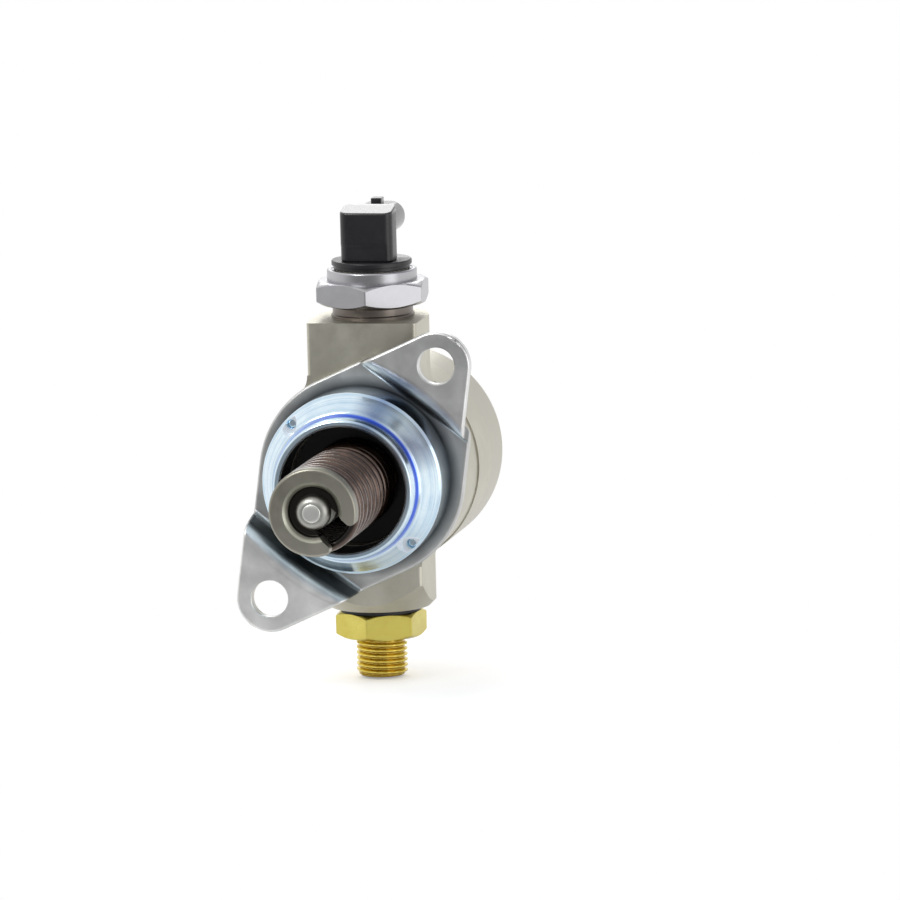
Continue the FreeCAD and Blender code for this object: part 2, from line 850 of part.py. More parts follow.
def solenoid_core():
    """Fixed iron core above the armature, bored for the return spring."""
    pocket = return_spring_r + spring_air
    return turned_z(
        [
            (0, core_top_z, 0),
            (core_r, core_top_z, 0),
            (core_r, coil_room_z + 0.5, 0),
            (armature_r, coil_room_z, 0),
            (armature_r, core_bottom_z, 0),
            (pocket, core_bottom_z, 0),
            (pocket, core_pocket_z, 0),
            (0, core_pocket_z, 0),
        ]
    )


def coil_bobbin():
    """Plastic bobbin of the coil."""
    inner = core_r + seat_gap
    rim = coil_room_r - winding_gap
    low = coil_room_z
    high = collar_top_z
    return turned_z(
        [
            (inner, low, 0),
            (rim, low, 0),
            (rim, low + bobbin_wall, 0),
            (inner + bobbin_wall, low + bobbin_wall, 0),
            (inner + bobbin_wall, high - bobbin_wall, 0),
            (rim, high - bobbin_wall, 0),
            (rim, high, 0),
            (inner, high, 0),
        ]
    )


def coil_winding():
    """Copper winding, as one ring of its outer shape."""
    inner = core_r + seat_gap + bobbin_wall
    outer = coil_room_r - 2.0 * winding_gap
    low = coil_room_z + bobbin_wall
    high = collar_top_z - bobbin_wall
    return turned_z([(inner, low, 0), (outer, low, 0), (outer, high, 0), (inner, high, 0)])


def armature():
    """Moving iron piece of the solenoid valve, with the spring pocket in its top."""
    pocket = return_spring_r + spring_air
    return turned_z(
        [
            (0, armature_bottom_z, 0),
            (armature_r - 0.4, armature_bottom_z, 0),
            (armature_r, armature_bottom_z + 0.4, 0),
            (armature_r, armature_top_z, 0),
            (pocket, armature_top_z, 0),
            (pocket, armature_pocket_z, 0),
            (0, armature_pocket_z, 0),
        ]
    )


def inlet_valve():
    """Stem and poppet that the armature lifts against their seat."""
    under = valve_bore_z - valve_stroke - rest_gap
    return turned_z(
        [
            (0, under - poppet_t, 0),
            (poppet_r, under - poppet_t, 0),
            (poppet_r, under - 0.5, 0),
            (poppet_r - 0.5, under, 0),
            (stem_r, under, 0),
            (stem_r, armature_bottom_z, 0),
            (0, armature_bottom_z, 0),
        ]
    )


def inlet_seat():
    """Pressed-in seat with its passage and stem hole."""
    return turned_z(
        [
            (seat_hole_r, valve_bore_z, 0),
            (valve_bore_r - seat_gap, valve_bore_z, 0),
            (valve_bore_r - seat_gap, seat_insert_top_z, 0),
            (seat_hole_r, seat_insert_top_z, 0),
        ]
    )


def return_spring():
    """Small spring between the core and the armature."""
    coil = coil_spring(
        return_spring_r - return_wire_d / 2.0,
        return_wire_d,
        return_turns,
        armature_pocket_z,
        core_pocket_z - seat_gap,
        10,
    )
    coil.translate(V(0, valve_axis_y, 0))
    return coil


def connector_housing():
    """Moulded plastic: round base, square tower and a horizontal socket that points back."""
    base = turned_z(
        [
            (0, collar_top_z, 0),
            (base_step_r, collar_top_z, 0),
            (base_step_r, base_step_z, 0),
            (base_r, base_step_z, 0),
            (base_r, base_top_z - 0.5, 0),
            (base_r - 0.5, base_top_z, 0),
            (0, base_top_z, 0),
        ]
    )
    half = tower_w / 2.0
    side = Part.Face(
        Part.makePolygon(
            [
                V(-half, valve_axis_y - tower_front_y, base_top_z),
                V(-half, valve_axis_y + tower_back_y, base_top_z),
                V(-half, valve_axis_y + tower_back_y, tower_top_z),
                V(-half, valve_axis_y - 1.0, tower_top_z),
                V(-half, valve_axis_y - tower_front_y, tower_top_z - tower_slope_h),
                V(-half, valve_axis_y - tower_front_y, base_top_z),
            ]
        )
    )
    tower = side.extrude(V(tower_w, 0, 0))
    upright = [
        e
        for e in tower.Edges
        if e.BoundBox.ZLength > 5.0 and e.CenterOfMass.y < valve_axis_y
    ]
    tower = tower.makeFillet(tower_corner_r, upright)
    socket_end_y = valve_axis_y + socket_len
    shell = Part.makeBox(
        socket_w,
        socket_len,
        socket_h,
        V(-socket_w / 2.0, valve_axis_y, socket_mid_z - socket_h / 2.0),
    )
    shell = shell.makeFillet(
        socket_corner_r, [e for e in shell.Edges if abs(e.BoundBox.YLength - socket_len) < 1e-3]
    )
    room_w = socket_w - 2.0 * socket_wall
    room_h = socket_h - 2.0 * socket_wall
    room = Part.makeBox(
        room_w,
        socket_deep + 1.0,
        room_h,
        V(-room_w / 2.0, socket_end_y - socket_deep, socket_mid_z - room_h / 2.0),
    )
    room = room.makeFillet(
        socket_corner_r - socket_wall,
        [e for e in room.Edges if abs(e.BoundBox.YLength - socket_deep - 1.0) < 1e-3],
    )
    rib = Part.makeBox(
        rib_w,
        rib_len - tower_back_y,
        socket_mid_z - base_top_z,
        V(-rib_w / 2.0, valve_axis_y + tower_back_y, base_top_z),
    )
    latch = Part.makeBox(
        latch_w,
        latch_len,
        latch_h + socket_wall,
        V(-latch_w / 2.0, valve_axis_y + latch_y, socket_top_z - socket_wall),
    )
    solid = base.fuse([tower, shell, rib, latch]).cut(room)
    core_room = rod_z(core_r + seat_gap, collar_top_z - 1.0, core_top_z + seat_gap)
    solid = solid.cut(core_room)
    for x in (-pin_gap_x, pin_gap_x):
        hole = terminal_blade(x)
        solid = solid.cut(hole)
    return one_solid(solid)


def terminal_blade(x):
    """One flat blade, from inside the tower into the socket."""
    back = valve_axis_y + socket_len - socket_deep + pin_len
    long = pin_len + pin_root
    return Part.makeBox(pin_w, long, pin_t, V(x - pin_w / 2.0, back - long, socket_mid_z - pin_t / 2.0))


def terminal_pins():
    """The two blades of the connector."""
    return Part.makeCompound([terminal_blade(-pin_gap_x), terminal_blade(pin_gap_x)])


def outlet_washer():
    """Sealing washer between the boss and the fitting."""
    return turned_z(
        [
            (fitting_foot_r + seat_gap, hex_bottom_z, 0),
            (washer_r, hex_bottom_z, 0),
            (washer_r, boss_bottom_z, 0),
            (fitting_foot_r + seat_gap, boss_bottom_z, 0),
        ]
    )


def outlet_fitting():
    """Brass union: screwed foot, hexagon, male thread and a coned mouth below."""
    step_z = foot_top_z - fitting_bore_h
    turned = turned_z(
        [
            (fitting_bore_r, foot_top_z, 0),
            (fitting_foot_r - 0.6, foot_top_z, 0),
            (fitting_foot_r, foot_top_z - 0.6, 0),
            (fitting_foot_r, hex_bottom_z, 0),
            (fitting_foot_r + 1.0, hex_bottom_z, 0),
            (fitting_foot_r + 1.0, thread_top_z, 0),
            (thread_relief_r, thread_top_z, 0),
            (thread_relief_r, thread_top_z - thread_relief_h, 0),
            (thread_r, thread_top_z - thread_relief_h - (thread_r - thread_relief_r), 0),
            (thread_r, thread_end_z + thread_chamfer, 0),
            (thread_r - thread_chamfer, thread_end_z, 0),
            (cone_mouth_r, thread_end_z, 0),
            (mouth_bore_r, thread_end_z + cone_deep, 0),
            (mouth_bore_r, step_z, 0),
            (fitting_bore_r, step_z, 0),
        ]
    )
    hexagon = hexagon_z(
        fitting_hex_af, fitting_hex_angle, thread_top_z, hex_bottom_z, fitting_chamfer
    ).cut(rod_z(fitting_foot_r, thread_top_z - 1.0, hex_bottom_z + 1.0))
    return one_solid(turned.fuse(hexagon))


def outlet_seat():
    """Pressed-in seat of the outlet valve, with its cone below."""
    cone_h = cone_edge_r - outlet_hole_r
    return turned_z(
        [
            (outlet_hole_r, outlet_top_z, 0),
            (outlet_insert_r, outlet_top_z, 0),
            (outlet_insert_r, foot_top_z, 0),
            (cone_edge_r, foot_top_z, 0),
            (outlet_hole_r, foot_top_z + cone_h, 0),
        ]
    )


def outlet_ball():
    """Hardened ball of the outlet valve."""
    return Part.makeSphere(ball_r, V(0, valve_axis_y, ball_centre_z))


def outlet_spring():
    """Small spring that holds the ball on its seat."""
    low = foot_top_z - fitting_bore_h
    high = ball_centre_z - math.sqrt(ball_r**2 - (outlet_spring_r - outlet_wire_d) ** 2)
    coil = coil_spring(
        outlet_spring_r - outlet_wire_d / 2.0,
        outlet_wire_d,
        outlet_turns,
        low,
        high - 2.0 * rest_gap,
        10,
    )
    coil.translate(V(0, valve_axis_y, 0))
    return coil


pieces = {
    "pump_body": pump_body,
    "flange_plate": flange_plate,
    "pilot_ring": pilot_ring,
    "spring_retainer": spring_retainer,
    "plunger": plunger_rod,
    "plunger_spring": plunger_spring,
    "plunger_sleeve": plunger_sleeve,
    "seal_carrier": seal_carrier,
    "plunger_seal": plunger_seal,
    "rear_cap": rear_cap,
    "damper_capsules": damper_capsules,
    "damper_rings": damper_rings,
    "inlet_stub": inlet_stub,
    "inlet_filter": inlet_filter,
    "solenoid_housing": solenoid_housing,
    "solenoid_seal": solenoid_seal,
    "solenoid_core": solenoid_core,
    "coil_bobbin": coil_bobbin,
    "coil_winding": coil_winding,
    "armature": armature,
    "inlet_valve": inlet_valve,
    "inlet_seat": inlet_seat,
    "return_spring": return_spring,
    "connector_housing": connector_housing,
    "terminal_pins": terminal_pins,
    "outlet_washer": outlet_washer,
    "outlet_fitting": outlet_fitting,
    "outlet_seat": outlet_seat,
    "outlet_ball": outlet_ball,
    "outlet_spring": outlet_spring,
}

os.makedirs("parts", exist_ok=True)
for name, make in pieces.items():
    shape = make()
    if not shape.isValid():
        print("not valid:", name)
    shape.exportStep(os.path.join("parts", name + ".step"))
    print(name, len(shape.Solids), round(shape.Volume, 1))
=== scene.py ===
# %% [markdown]
# A high pressure fuel pump, dressed for its picture. The solids come from the CAD frame, and this
# lesson adds what the eye looks for: turned edges, a real thread, the S-bend of the pressed plate,
# and finishes such as zinc, nickel, brass and oiled spring steel. Everything is in metres.

import math

import bmesh
import bpy
import numpy as np
from mathutils import Matrix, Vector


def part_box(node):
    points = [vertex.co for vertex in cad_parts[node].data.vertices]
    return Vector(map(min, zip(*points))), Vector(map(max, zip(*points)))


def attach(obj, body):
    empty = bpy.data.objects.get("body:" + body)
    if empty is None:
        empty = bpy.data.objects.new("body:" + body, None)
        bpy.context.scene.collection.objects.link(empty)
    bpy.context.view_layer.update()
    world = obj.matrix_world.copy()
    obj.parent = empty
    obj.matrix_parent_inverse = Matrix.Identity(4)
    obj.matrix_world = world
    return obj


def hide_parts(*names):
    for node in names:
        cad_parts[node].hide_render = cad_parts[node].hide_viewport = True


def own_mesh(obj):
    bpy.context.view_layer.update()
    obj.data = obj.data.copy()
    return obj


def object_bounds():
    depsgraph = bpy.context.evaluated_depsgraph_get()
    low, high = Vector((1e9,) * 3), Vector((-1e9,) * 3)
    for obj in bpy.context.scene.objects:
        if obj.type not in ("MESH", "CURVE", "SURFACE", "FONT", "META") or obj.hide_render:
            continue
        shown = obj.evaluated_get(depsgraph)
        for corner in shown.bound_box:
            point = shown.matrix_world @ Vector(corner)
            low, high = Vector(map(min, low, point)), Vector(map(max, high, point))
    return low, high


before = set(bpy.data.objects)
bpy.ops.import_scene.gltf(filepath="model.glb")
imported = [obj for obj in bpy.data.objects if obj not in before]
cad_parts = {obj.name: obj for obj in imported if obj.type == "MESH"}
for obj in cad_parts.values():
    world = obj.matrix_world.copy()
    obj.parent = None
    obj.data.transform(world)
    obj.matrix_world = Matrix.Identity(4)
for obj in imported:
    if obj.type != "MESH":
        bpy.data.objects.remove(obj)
cad_box = [list(map(float, corner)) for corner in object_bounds()]
MM = 0.001
print("CAD box in mm:", [[round(v / MM, 1) for v in corner] for corner in cad_box])

# %% [markdown]
# The camera comes first, because every later choice is judged through it. The picture was taken
# from far away with a long lens, so parallel edges stay parallel. The viewing direction is given by
# two angles, turned round the vertical and raised above the horizon, and a small roll.

# %% Place the camera
PICTURE = 900.0
turn, rise, roll = math.radians(12.3), math.radians(9.0), math.radians(-1.5)
focal, distance = 13218.0, 3574.0
aside, below = -29.2, -11.0
ring_nose = np.array([0.0, -13.2, 0.0])

back = np.array([math.sin(turn) * math.cos(rise), -math.cos(turn) * math.cos(rise), math.sin(rise)])
level = np.array([math.cos(turn), math.sin(turn), 0.0])
upright = np.cross(back, level)
right = level * math.cos(roll) + upright * math.sin(roll)
up = -level * math.sin(roll) + upright * math.cos(roll)
eye = ring_nose - aside * right - below * up + distance * back

camera = bpy.data.cameras.new("camera")
camera.sensor_fit = "HORIZONTAL"
camera.sensor_width = 36.0
camera.lens = focal / PICTURE * 36.0
camera.clip_start, camera.clip_end = 0.1, 20.0
camera_object = bpy.data.objects.new("camera", camera)
bpy.context.scene.collection.objects.link(camera_object)
pose = np.eye(4)
pose[:3, 0], pose[:3, 1], pose[:3, 2], pose[:3, 3] = right, up, back, eye * MM
camera_object.matrix_world = Matrix(pose.tolist())
bpy.context.scene.camera = camera_object
print("lens in mm:", round(camera.lens, 1), "eye in mm:", np.round(eye, 1))

# %% [markdown]
# Most pieces of a pump are turned, so the first helper rounds the corners of a profile and the
# second one spins it. A corner could be rounded with a bevel afterwards, but a rounded profile
# keeps every ring exactly where the drawing wants it.


# %% Round a profile
def rounded(corners, steps=7, closed=True):
    """Points of a profile whose corners (a, b, radius) are replaced by arcs.

    An arc starts and ends at radius / tan(half the corner's angle) from the corner, and its
    centre lies on the bisector. Each straight stretch gets one more point close to both ends, so
    that smooth shading stays flat between them.
    """
    flat = np.array([c[:2] for c in corners], float)
    count = len(corners)
    stretches = []
    for i, (_, _, radius) in enumerate(corners):
        here = flat[i]
        if radius <= 0 or (not closed and i in (0, count - 1)):
            stretches.append(here[None])
            continue
        to_a = flat[i - 1] - here
        to_b = flat[(i + 1) % count] - here
        to_a /= np.linalg.norm(to_a)
        to_b /= np.linalg.norm(to_b)
        half = 0.5 * math.acos(np.clip(to_a @ to_b, -1, 1))
        middle = (to_a + to_b) / np.linalg.norm(to_a + to_b)
        centre = here + middle * radius / math.sin(half)
        start = here + to_a * radius / math.tan(half) - centre
        swing = math.pi - 2.0 * half
        sign = np.sign(start[0] * (-middle[1]) - start[1] * (-middle[0]))
        angles = sign * np.linspace(0.0, swing, steps + 1)
        c, s = np.cos(angles), np.sin(angles)
        turned = np.c_[start[0] * c - start[1] * s, start[0] * s + start[1] * c]
        stretches.append(centre + turned)
    out = []
    for i in range(count):
        out.append(stretches[i])
        if i == count - 1 and not closed:
            break
        a, b = stretches[i][-1], stretches[(i + 1) % count][0]
        gap = np.linalg.norm(b - a)
        if gap > 0.3:
            near = min(0.08 / gap, 0.2)
            out.append(np.array([a + (b - a) * near, b + (a - b) * near]))
    return np.concatenate(out)


# %% Put grids of points into one mesh
def piece(name, grids, material=None, sharp=30.0, merge=2e-6):
    """A mesh object from grids of points in mm.

    Each grid is (points of shape rows x columns x 3, rows wrap round, columns wrap round); its
    faces join every point with the next one in its row and in its column.
    """
    places, faces, base = [], [], 0
    for points, wrap_rows, wrap_columns in grids:
        rows, columns = points.shape[:2]
        index = base + np.arange(rows * columns).reshape(rows, columns)
        if wrap_rows:
            index = np.concatenate([index, index[:1]])
        if wrap_columns:
            index = np.concatenate([index, index[:, :1]], axis=1)
        quads = np.stack([index[:-1, :-1], index[1:, :-1], index[1:, 1:], index[:-1, 1:]], axis=-1)
        places.append(points.reshape(-1, 3))
        faces.append(quads.reshape(-1, 4))
        base += rows * columns
    places, faces = np.concatenate(places) * MM, np.concatenate(faces)
    mesh = bpy.data.meshes.new(name)
    mesh.vertices.add(len(places))
    mesh.vertices.foreach_set("co", places.ravel())
    mesh.loops.add(faces.size)
    mesh.loops.foreach_set("vertex_index", faces.ravel())
    mesh.polygons.add(len(faces))
    mesh.polygons.foreach_set("loop_start", np.arange(len(faces)) * 4)
    mesh.polygons.foreach_set("loop_total", np.full(len(faces), 4))
    mesh.update(calc_edges=True)
    return tidy(name, mesh, material, sharp, merge)


def tidy(name, mesh, material=None, sharp=30.0, merge=2e-6):
    """Closes seams and poles, turns the faces outwards and shades smooth up to an angle."""
    work = bmesh.new()
    work.from_mesh(mesh)
    bmesh.ops.remove_doubles(work, verts=work.verts, dist=merge)
    bmesh.ops.dissolve_degenerate(work, edges=work.edges, dist=merge * 0.5)
    bmesh.ops.recalc_face_normals(work, faces=work.faces)
    work.to_mesh(mesh)
    work.free()
    mesh.polygons.foreach_set("use_smooth", np.ones(len(mesh.polygons), bool))
    mesh.set_sharp_from_angle(angle=math.radians(sharp))
    thing = bpy.data.objects.new(name, mesh)
    bpy.context.scene.collection.objects.link(thing)
    if material:
        mesh.materials.append(material)
    print(name, "faces:", len(mesh.polygons))
    return thing


VALVE_Y = 31.1
NOTCH_AT = 23.0 * math.cos(math.radians(45.0))


def spun(profile, about="y", segments=192):
    """Grid of a profile (radius, height) turned about the plunger axis or the valve axis.

    A point is (radius cos a, height, radius sin a) about the plunger axis, and about the valve
    axis (radius cos a, VALVE_Y + radius sin a, height).
    """
    angle = np.linspace(0.0, 2.0 * math.pi, segments, endpoint=False)
    radius, height = profile[:, 0][:, None], profile[:, 1][:, None]
    x, other = radius * np.cos(angle), radius * np.sin(angle)
    tall = height + 0.0 * angle
    if about == "y":
        return np.stack([x, tall, other], axis=-1)
    return np.stack([x, VALVE_Y + other, tall], axis=-1)


# %% [markdown]
# A finish is a small program of shader nodes. Wiring them by hand is slow to read, so a socket is
# wrapped in a class that understands plus, minus and times, and one method makes any other node.


# %% Write shader maths as Python
class Value:
    """A shader socket that takes part in ordinary arithmetic."""

    def __init__(self, finish, socket):
        self.finish, self.socket = finish, socket

    def reckon(self, operation, *others):
        inputs = dict(enumerate((self, *others)))
        return self.finish.node("ShaderNodeMath", {"operation": operation}, inputs)

    def turned_round(self, operation, other):
        return self.finish.node("ShaderNodeMath", {"operation": operation}, {0: other, 1: self})

    def __add__(self, other):
        return self.reckon("ADD", other)

    def __radd__(self, other):
        return self.turned_round("ADD", other)

    def __sub__(self, other):
        return self.reckon("SUBTRACT", other)

    def __rsub__(self, other):
        return self.turned_round("SUBTRACT", other)

    def __mul__(self, other):
        return self.reckon("MULTIPLY", other)

    def __rmul__(self, other):
        return self.turned_round("MULTIPLY", other)

    def __truediv__(self, other):
        return self.reckon("DIVIDE", other)

    def __pow__(self, other):
        return self.reckon("POWER", other)


class Finish:
    """A material that is being written, with the node that paints it at the end."""

    def __init__(self, name, **constants):
        self.material = bpy.data.materials.new(name)
        self.material.use_nodes = True
        self.tree = self.material.node_tree
        self.paint = next(n for n in self.tree.nodes if n.type == "BSDF_PRINCIPLED")
        for socket, value in constants.items():
            self.paint.inputs[socket.replace("_", " ")].default_value = value
        self.place = self.node("ShaderNodeTexCoord", {}, {}, "Object")

    def node(self, kind, settings, inputs, output=0):
        """One node: its settings first, then the values or links of its sockets."""
        made = self.tree.nodes.new(kind)
        for key, value in settings.items():
            setattr(made, key, value)
        for key, value in inputs.items():
            if isinstance(value, Value):
                self.tree.links.new(value.socket, made.inputs[key])
            else:
                made.inputs[key].default_value = value
        return Value(self, made.outputs[output])

    def feed(self, **links):
        for socket, value in links.items():
            self.tree.links.new(value.socket, self.paint.inputs[socket.replace("_", " ")])
        return self.material

    def noise(self, scale, detail, rough, at=None):
        """Cloudy noise in 0..1, with about this many patches in a metre."""
        inputs = {"Vector": at or self.place, "Scale": scale, "Detail": detail, "Roughness": rough}
        return self.node("ShaderNodeTexNoise", {}, inputs, "Fac")

    def mix(self, share, first, second):
        """A colour between two colours."""
        return self.node(
            "ShaderNodeMix", {"data_type": "RGBA"}, {0: share, 6: first, 7: second}, 2
        )

    def between(self, value, low, high, to_low=0.0, to_high=1.0):
        """A value moved from one range to another, and held inside it."""
        inputs = {"Value": value, "From Min": low, "From Max": high}
        inputs.update({"To Min": to_low, "To Max": to_high})
        return self.node("ShaderNodeMapRange", {"clamp": True}, inputs)

    def below(self, value, low, high):
        """1 where the value is below the first limit, 0 where it is above the second."""
        return self.between(value, low, high, 1.0, 0.0)

    def parts(self):
        """The x, y and z of the place on the piece."""
        made = self.tree.nodes.new("ShaderNodeSeparateXYZ")
        self.tree.links.new(self.place.socket, made.inputs[0])
        return [Value(self, made.outputs[i]) for i in range(3)]

    def vector(self, x, y, z):
        return self.node("ShaderNodeCombineXYZ", {}, {0: x, 1: y, 2: z})

    def bump(self, height, distance, strength):
        inputs = {"Height": height, "Distance": distance, "Strength": strength}
        return self.node("ShaderNodeBump", {}, inputs, "Normal")


# %% [markdown]
# A turned piece shows rings, because the tool leaves a fine thread as it feeds. The rings are the
# same at every angle, so their noise is read from two numbers only: the distance from the axis and
# the place along it. The same trick serves faces and barrels, about either axis.


# %% Turned rings about an axis
def ring_place(finish, about):
    """Distance from the axis, place along it, and both together as a place for noise."""
    x, y, z = finish.parts()
    if about == "y":
        other, along = z, y
    else:
        other, along = y - VALVE_Y * MM, z
    radius = (x * x + other * other) ** 0.5
    return radius, along, finish.vector(radius, along, 0.0)


def turning_marks(finish, about, rings=(5200.0, 2.0), clouds=(160.0, 4.0)):
    """Distance from the axis, place along it, fine turning rings and soft clouds.

    Rings and clouds are each given as (patches in a metre, detail).
    """
    radius, along, place = ring_place(finish, about)
    return radius, along, finish.noise(*rings, 0.6, place), finish.noise(*clouds, 0.6)


def two_tones(finish, cloud, fine, dark, light):
    """A colour between two tones, mostly by the clouds and partly by the rings."""
    return finish.mix(finish.between(cloud * 0.6 + fine * 0.4, 0.3, 0.7), dark, light)


def worn_roughness(finish, cloud, fine, low, high):
    return finish.between(cloud + fine * 0.5, 0.4, 1.1, low, high)


def turned_metal(name, colour, worn, roughness, about, rings=1.0):
    """Metal with turning rings, a little cloudiness and a second colour in the valleys."""
    finish = Finish(name, Metallic=1.0, Base_Color=(*colour, 1.0), Roughness=roughness)
    _, _, fine, cloud = turning_marks(finish, about)
    base = two_tones(finish, cloud, fine, (*worn, 1.0), (*colour, 1.0))
    rough = worn_roughness(finish, cloud, fine, roughness - 0.1, roughness + 0.1)
    normal = finish.bump(fine, 0.00002 * rings, 0.6)
    return finish.feed(Base_Color=base, Roughness=rough, Normal=normal)


# %% [markdown]
# Each finish below starts from two tones and then paints marks on top: some are left by use and
# plating, others are painted shade and painted highlights. A mask is a product of ramps over a
# radius, an angle or a height, so it needs no picture. Nickel on the body is matte: it was blasted
# or tumbled before plating, so the light breaks up in tiny grains.


# %% Finishes of the metals
def nickel_finish():
    """Matte grain in warm grey, with a few darker stains."""
    finish = Finish("matte_nickel", Metallic=1.0, Roughness=0.42)
    grain = finish.noise(2600.0, 3.0, 0.7)
    cloud = finish.noise(90.0, 4.0, 0.6)
    stain = finish.noise(420.0, 3.0, 0.6)
    tone = finish.between(cloud, 0.35, 0.65)
    base = finish.mix(tone, (0.50, 0.48, 0.40, 1), (0.59, 0.57, 0.49, 1))
    stained = finish.between(stain, 0.6, 0.8, 0.0, 0.25)
    base = finish.mix(stained, base, (0.34, 0.315, 0.25, 1))
    rough = finish.between(grain * 0.5 + cloud * 0.5, 0.35, 0.65, 0.34, 0.5)
    normal = finish.bump(grain, 0.00003, 0.6)
    return finish.feed(Base_Color=base, Roughness=rough, Normal=normal)


def plate_finish():
    """Steel with a grain along the ears; its slanted walls and the strip by the ring have painted
    shade.
    """
    finish = Finish("pressed_steel", Metallic=1.0, Roughness=0.34)
    x, y, z = finish.parts()
    along = finish.vector(x * 0.59 + z * 0.81, (x * 0.81 - z * 0.59) * 14.0, y)
    grain = finish.noise(900.0, 3.0, 0.6, along)
    cloud = finish.noise(120.0, 4.0, 0.55)
    tone = finish.between(cloud, 0.3, 0.7)
    base = finish.mix(tone, (0.66, 0.665, 0.655, 1), (0.86, 0.865, 0.85, 1))
    # painted shade: the slanted walls of the S-bend are painted nearly black
    wall = finish.between(y, 0.0014, 0.0042) * finish.between(y, 0.0086, 0.0106, 1.0, 0.3)
    base = finish.mix(wall * 0.93, base, (0.06, 0.065, 0.065, 1))
    radius = (x * x + z * z) ** 0.5
    # painted shadow: the strip of plate beside the ring is painted nearly black
    ring_shadow = finish.between(y, 0.008, 0.0105) * finish.between(radius, 0.0250, 0.0280, 0.88, 0.0)
    base = finish.mix(ring_shadow, base, (0.05, 0.055, 0.06, 1))
    rough = finish.between(cloud + grain * 0.4, 0.45, 1.0, 0.3, 0.44)
    normal = finish.bump(grain, 0.00002, 0.5)
    return finish.feed(Base_Color=base, Roughness=rough, Normal=normal)


def zinc_finish():
    """Blue passivated zinc; the blue gathers in the hollow beside the lip. Reflections and shade
    are painted.
    """
    finish = Finish("blue_zinc", Metallic=1.0, Roughness=0.2)
    radius, along, place = ring_place(finish, "y")
    fine = finish.noise(5200.0, 2.0, 0.6, place)
    broad = finish.noise(900.0, 3.0, 0.6, place)
    cloud = finish.noise(120.0, 4.0, 0.6)
    x, _, z = finish.parts()
    angle = finish.node("ShaderNodeMath", {"operation": "ARCTAN2"}, {0: z, 1: x})
    tone = finish.between(broad * 0.6 + cloud * 0.4, 0.35, 0.65)
    base = finish.mix(tone, (0.50, 0.67, 0.82, 1), (0.84, 0.95, 1.0, 1))
    # painted reflection: a dark blue band and a grey band at fixed angles, as turned metal reflects
    # in sectors
    dark_reflection_band = finish.between(angle, 0.85, 1.15) * finish.below(angle, 1.2, 1.5)
    base = finish.mix(dark_reflection_band * 0.8, base, (0.20, 0.30, 0.52, 1))
    grey_reflection_band = finish.between(angle, 0.2, 0.5) * finish.below(angle, 0.6, 0.9)
    base = finish.mix(grey_reflection_band * 0.7, base, (0.48, 0.54, 0.68, 1))
    hollow = finish.between(radius, 0.0194, 0.0197) * finish.below(radius, 0.0200, 0.0205)
    deep = hollow * finish.between(angle, -1.2, -0.4) * finish.below(angle, 1.5, 2.4)
    thin = (hollow * 0.3 + deep * 0.6) * finish.between(along, -0.0108, -0.0096)
    base = finish.mix(thin, base, (0.01, 0.08, 0.70, 1))
    # painted shade: the wall of the bore is painted nearly black
    bore_shade = finish.below(radius, 0.01722, 0.01732) * finish.between(along, -0.0124, -0.0118)
    base = finish.mix(bore_shade * 0.95, base, (0.012, 0.012, 0.013, 1))
    at = NOTCH_AT * MM
    first = ((x + at) * (x + at) + (z - at) * (z - at)) ** 0.5
    second = ((x - at) * (x - at) + (z + at) * (z + at)) ** 0.5
    # painted highlight: the floor of each notch is painted pale and less metallic
    notch_highlight = finish.below(first, 0.00266, 0.00272) + finish.below(second, 0.00266, 0.00272)
    notch_highlight = notch_highlight * finish.below(along, -0.0018, -0.0015)
    base = finish.mix(notch_highlight * 0.8, base, (0.88, 0.93, 0.99, 1))
    rough = worn_roughness(finish, cloud, fine, 0.13, 0.24)
    metallic = finish.between(notch_highlight, 0.0, 1.0, 1.0, 0.35)
    normal = finish.bump(fine, 0.000015, 0.5)
    return finish.feed(Base_Color=base, Roughness=rough, Metallic=metallic, Normal=normal)


def valve_finish():
    """Bright turned steel; the groove below the hexagon is darker and browner."""
    finish = Finish("bright_steel_top", Metallic=1.0, Roughness=0.24)
    _, along, fine, cloud = turning_marks(finish, "z")
    base = two_tones(finish, cloud, fine, (0.40, 0.40, 0.415, 1), (0.50, 0.50, 0.52, 1))
    groove = finish.below(along, 0.0446, 0.0451)
    base = finish.mix(groove * 0.8, base, (0.13, 0.10, 0.075, 1))
    rough = worn_roughness(finish, cloud, fine, 0.27, 0.35)
    normal = finish.bump(fine, 0.00001, 0.25)
    return finish.feed(Base_Color=base, Roughness=rough, Normal=normal)


def retainer_finish():
    """Phosphated steel; painted light on its face and bevel, painted shade in its cup and outer
    edge.
    """
    finish = Finish("olive_steel", Metallic=1.0, Roughness=0.36)
    radius, along, fine, cloud = turning_marks(finish, "y", (4200.0, 3.0), (200.0, 4.0))
    base = two_tones(finish, cloud, fine, (0.32, 0.31, 0.255, 1), (0.43, 0.415, 0.35, 1))
    x, _, z = finish.parts()
    # painted light: the face is painted lighter towards the lower right, where more light falls
    lit_side_gradient = finish.between(x * 0.6 - z * 0.8, -0.009, 0.012)
    base = finish.mix(lit_side_gradient * 0.75, base, (0.54, 0.525, 0.455, 1))
    # painted highlight: a bright ring on the bevel round the cup
    bevel_highlight = finish.between(radius, 0.0066, 0.0071) * finish.below(radius, 0.0080, 0.0084)
    bevel_highlight = bevel_highlight * finish.between(along, -0.0496, -0.0499)
    base = finish.mix(bevel_highlight, base, (0.62, 0.62, 0.52, 1))
    # painted shade: the inside of the cup is painted nearly black
    cup_shade = finish.below(radius, 0.0068, 0.0071) * finish.between(along, -0.0499, -0.0493)
    base = finish.mix(cup_shade * 0.95, base, (0.01, 0.009, 0.008, 1))
    # painted shade: the outer edge is painted darker, toning down its bright reflection
    outer_edge_shade = finish.between(radius, 0.0112, 0.0118)
    base = finish.mix(outer_edge_shade * 0.6, base, (0.24, 0.23, 0.195, 1))
    rough = worn_roughness(finish, cloud, fine, 0.3, 0.42)
    normal = finish.bump(fine, 0.00002, 0.8)
    return finish.feed(Base_Color=base, Roughness=rough, Normal=normal)


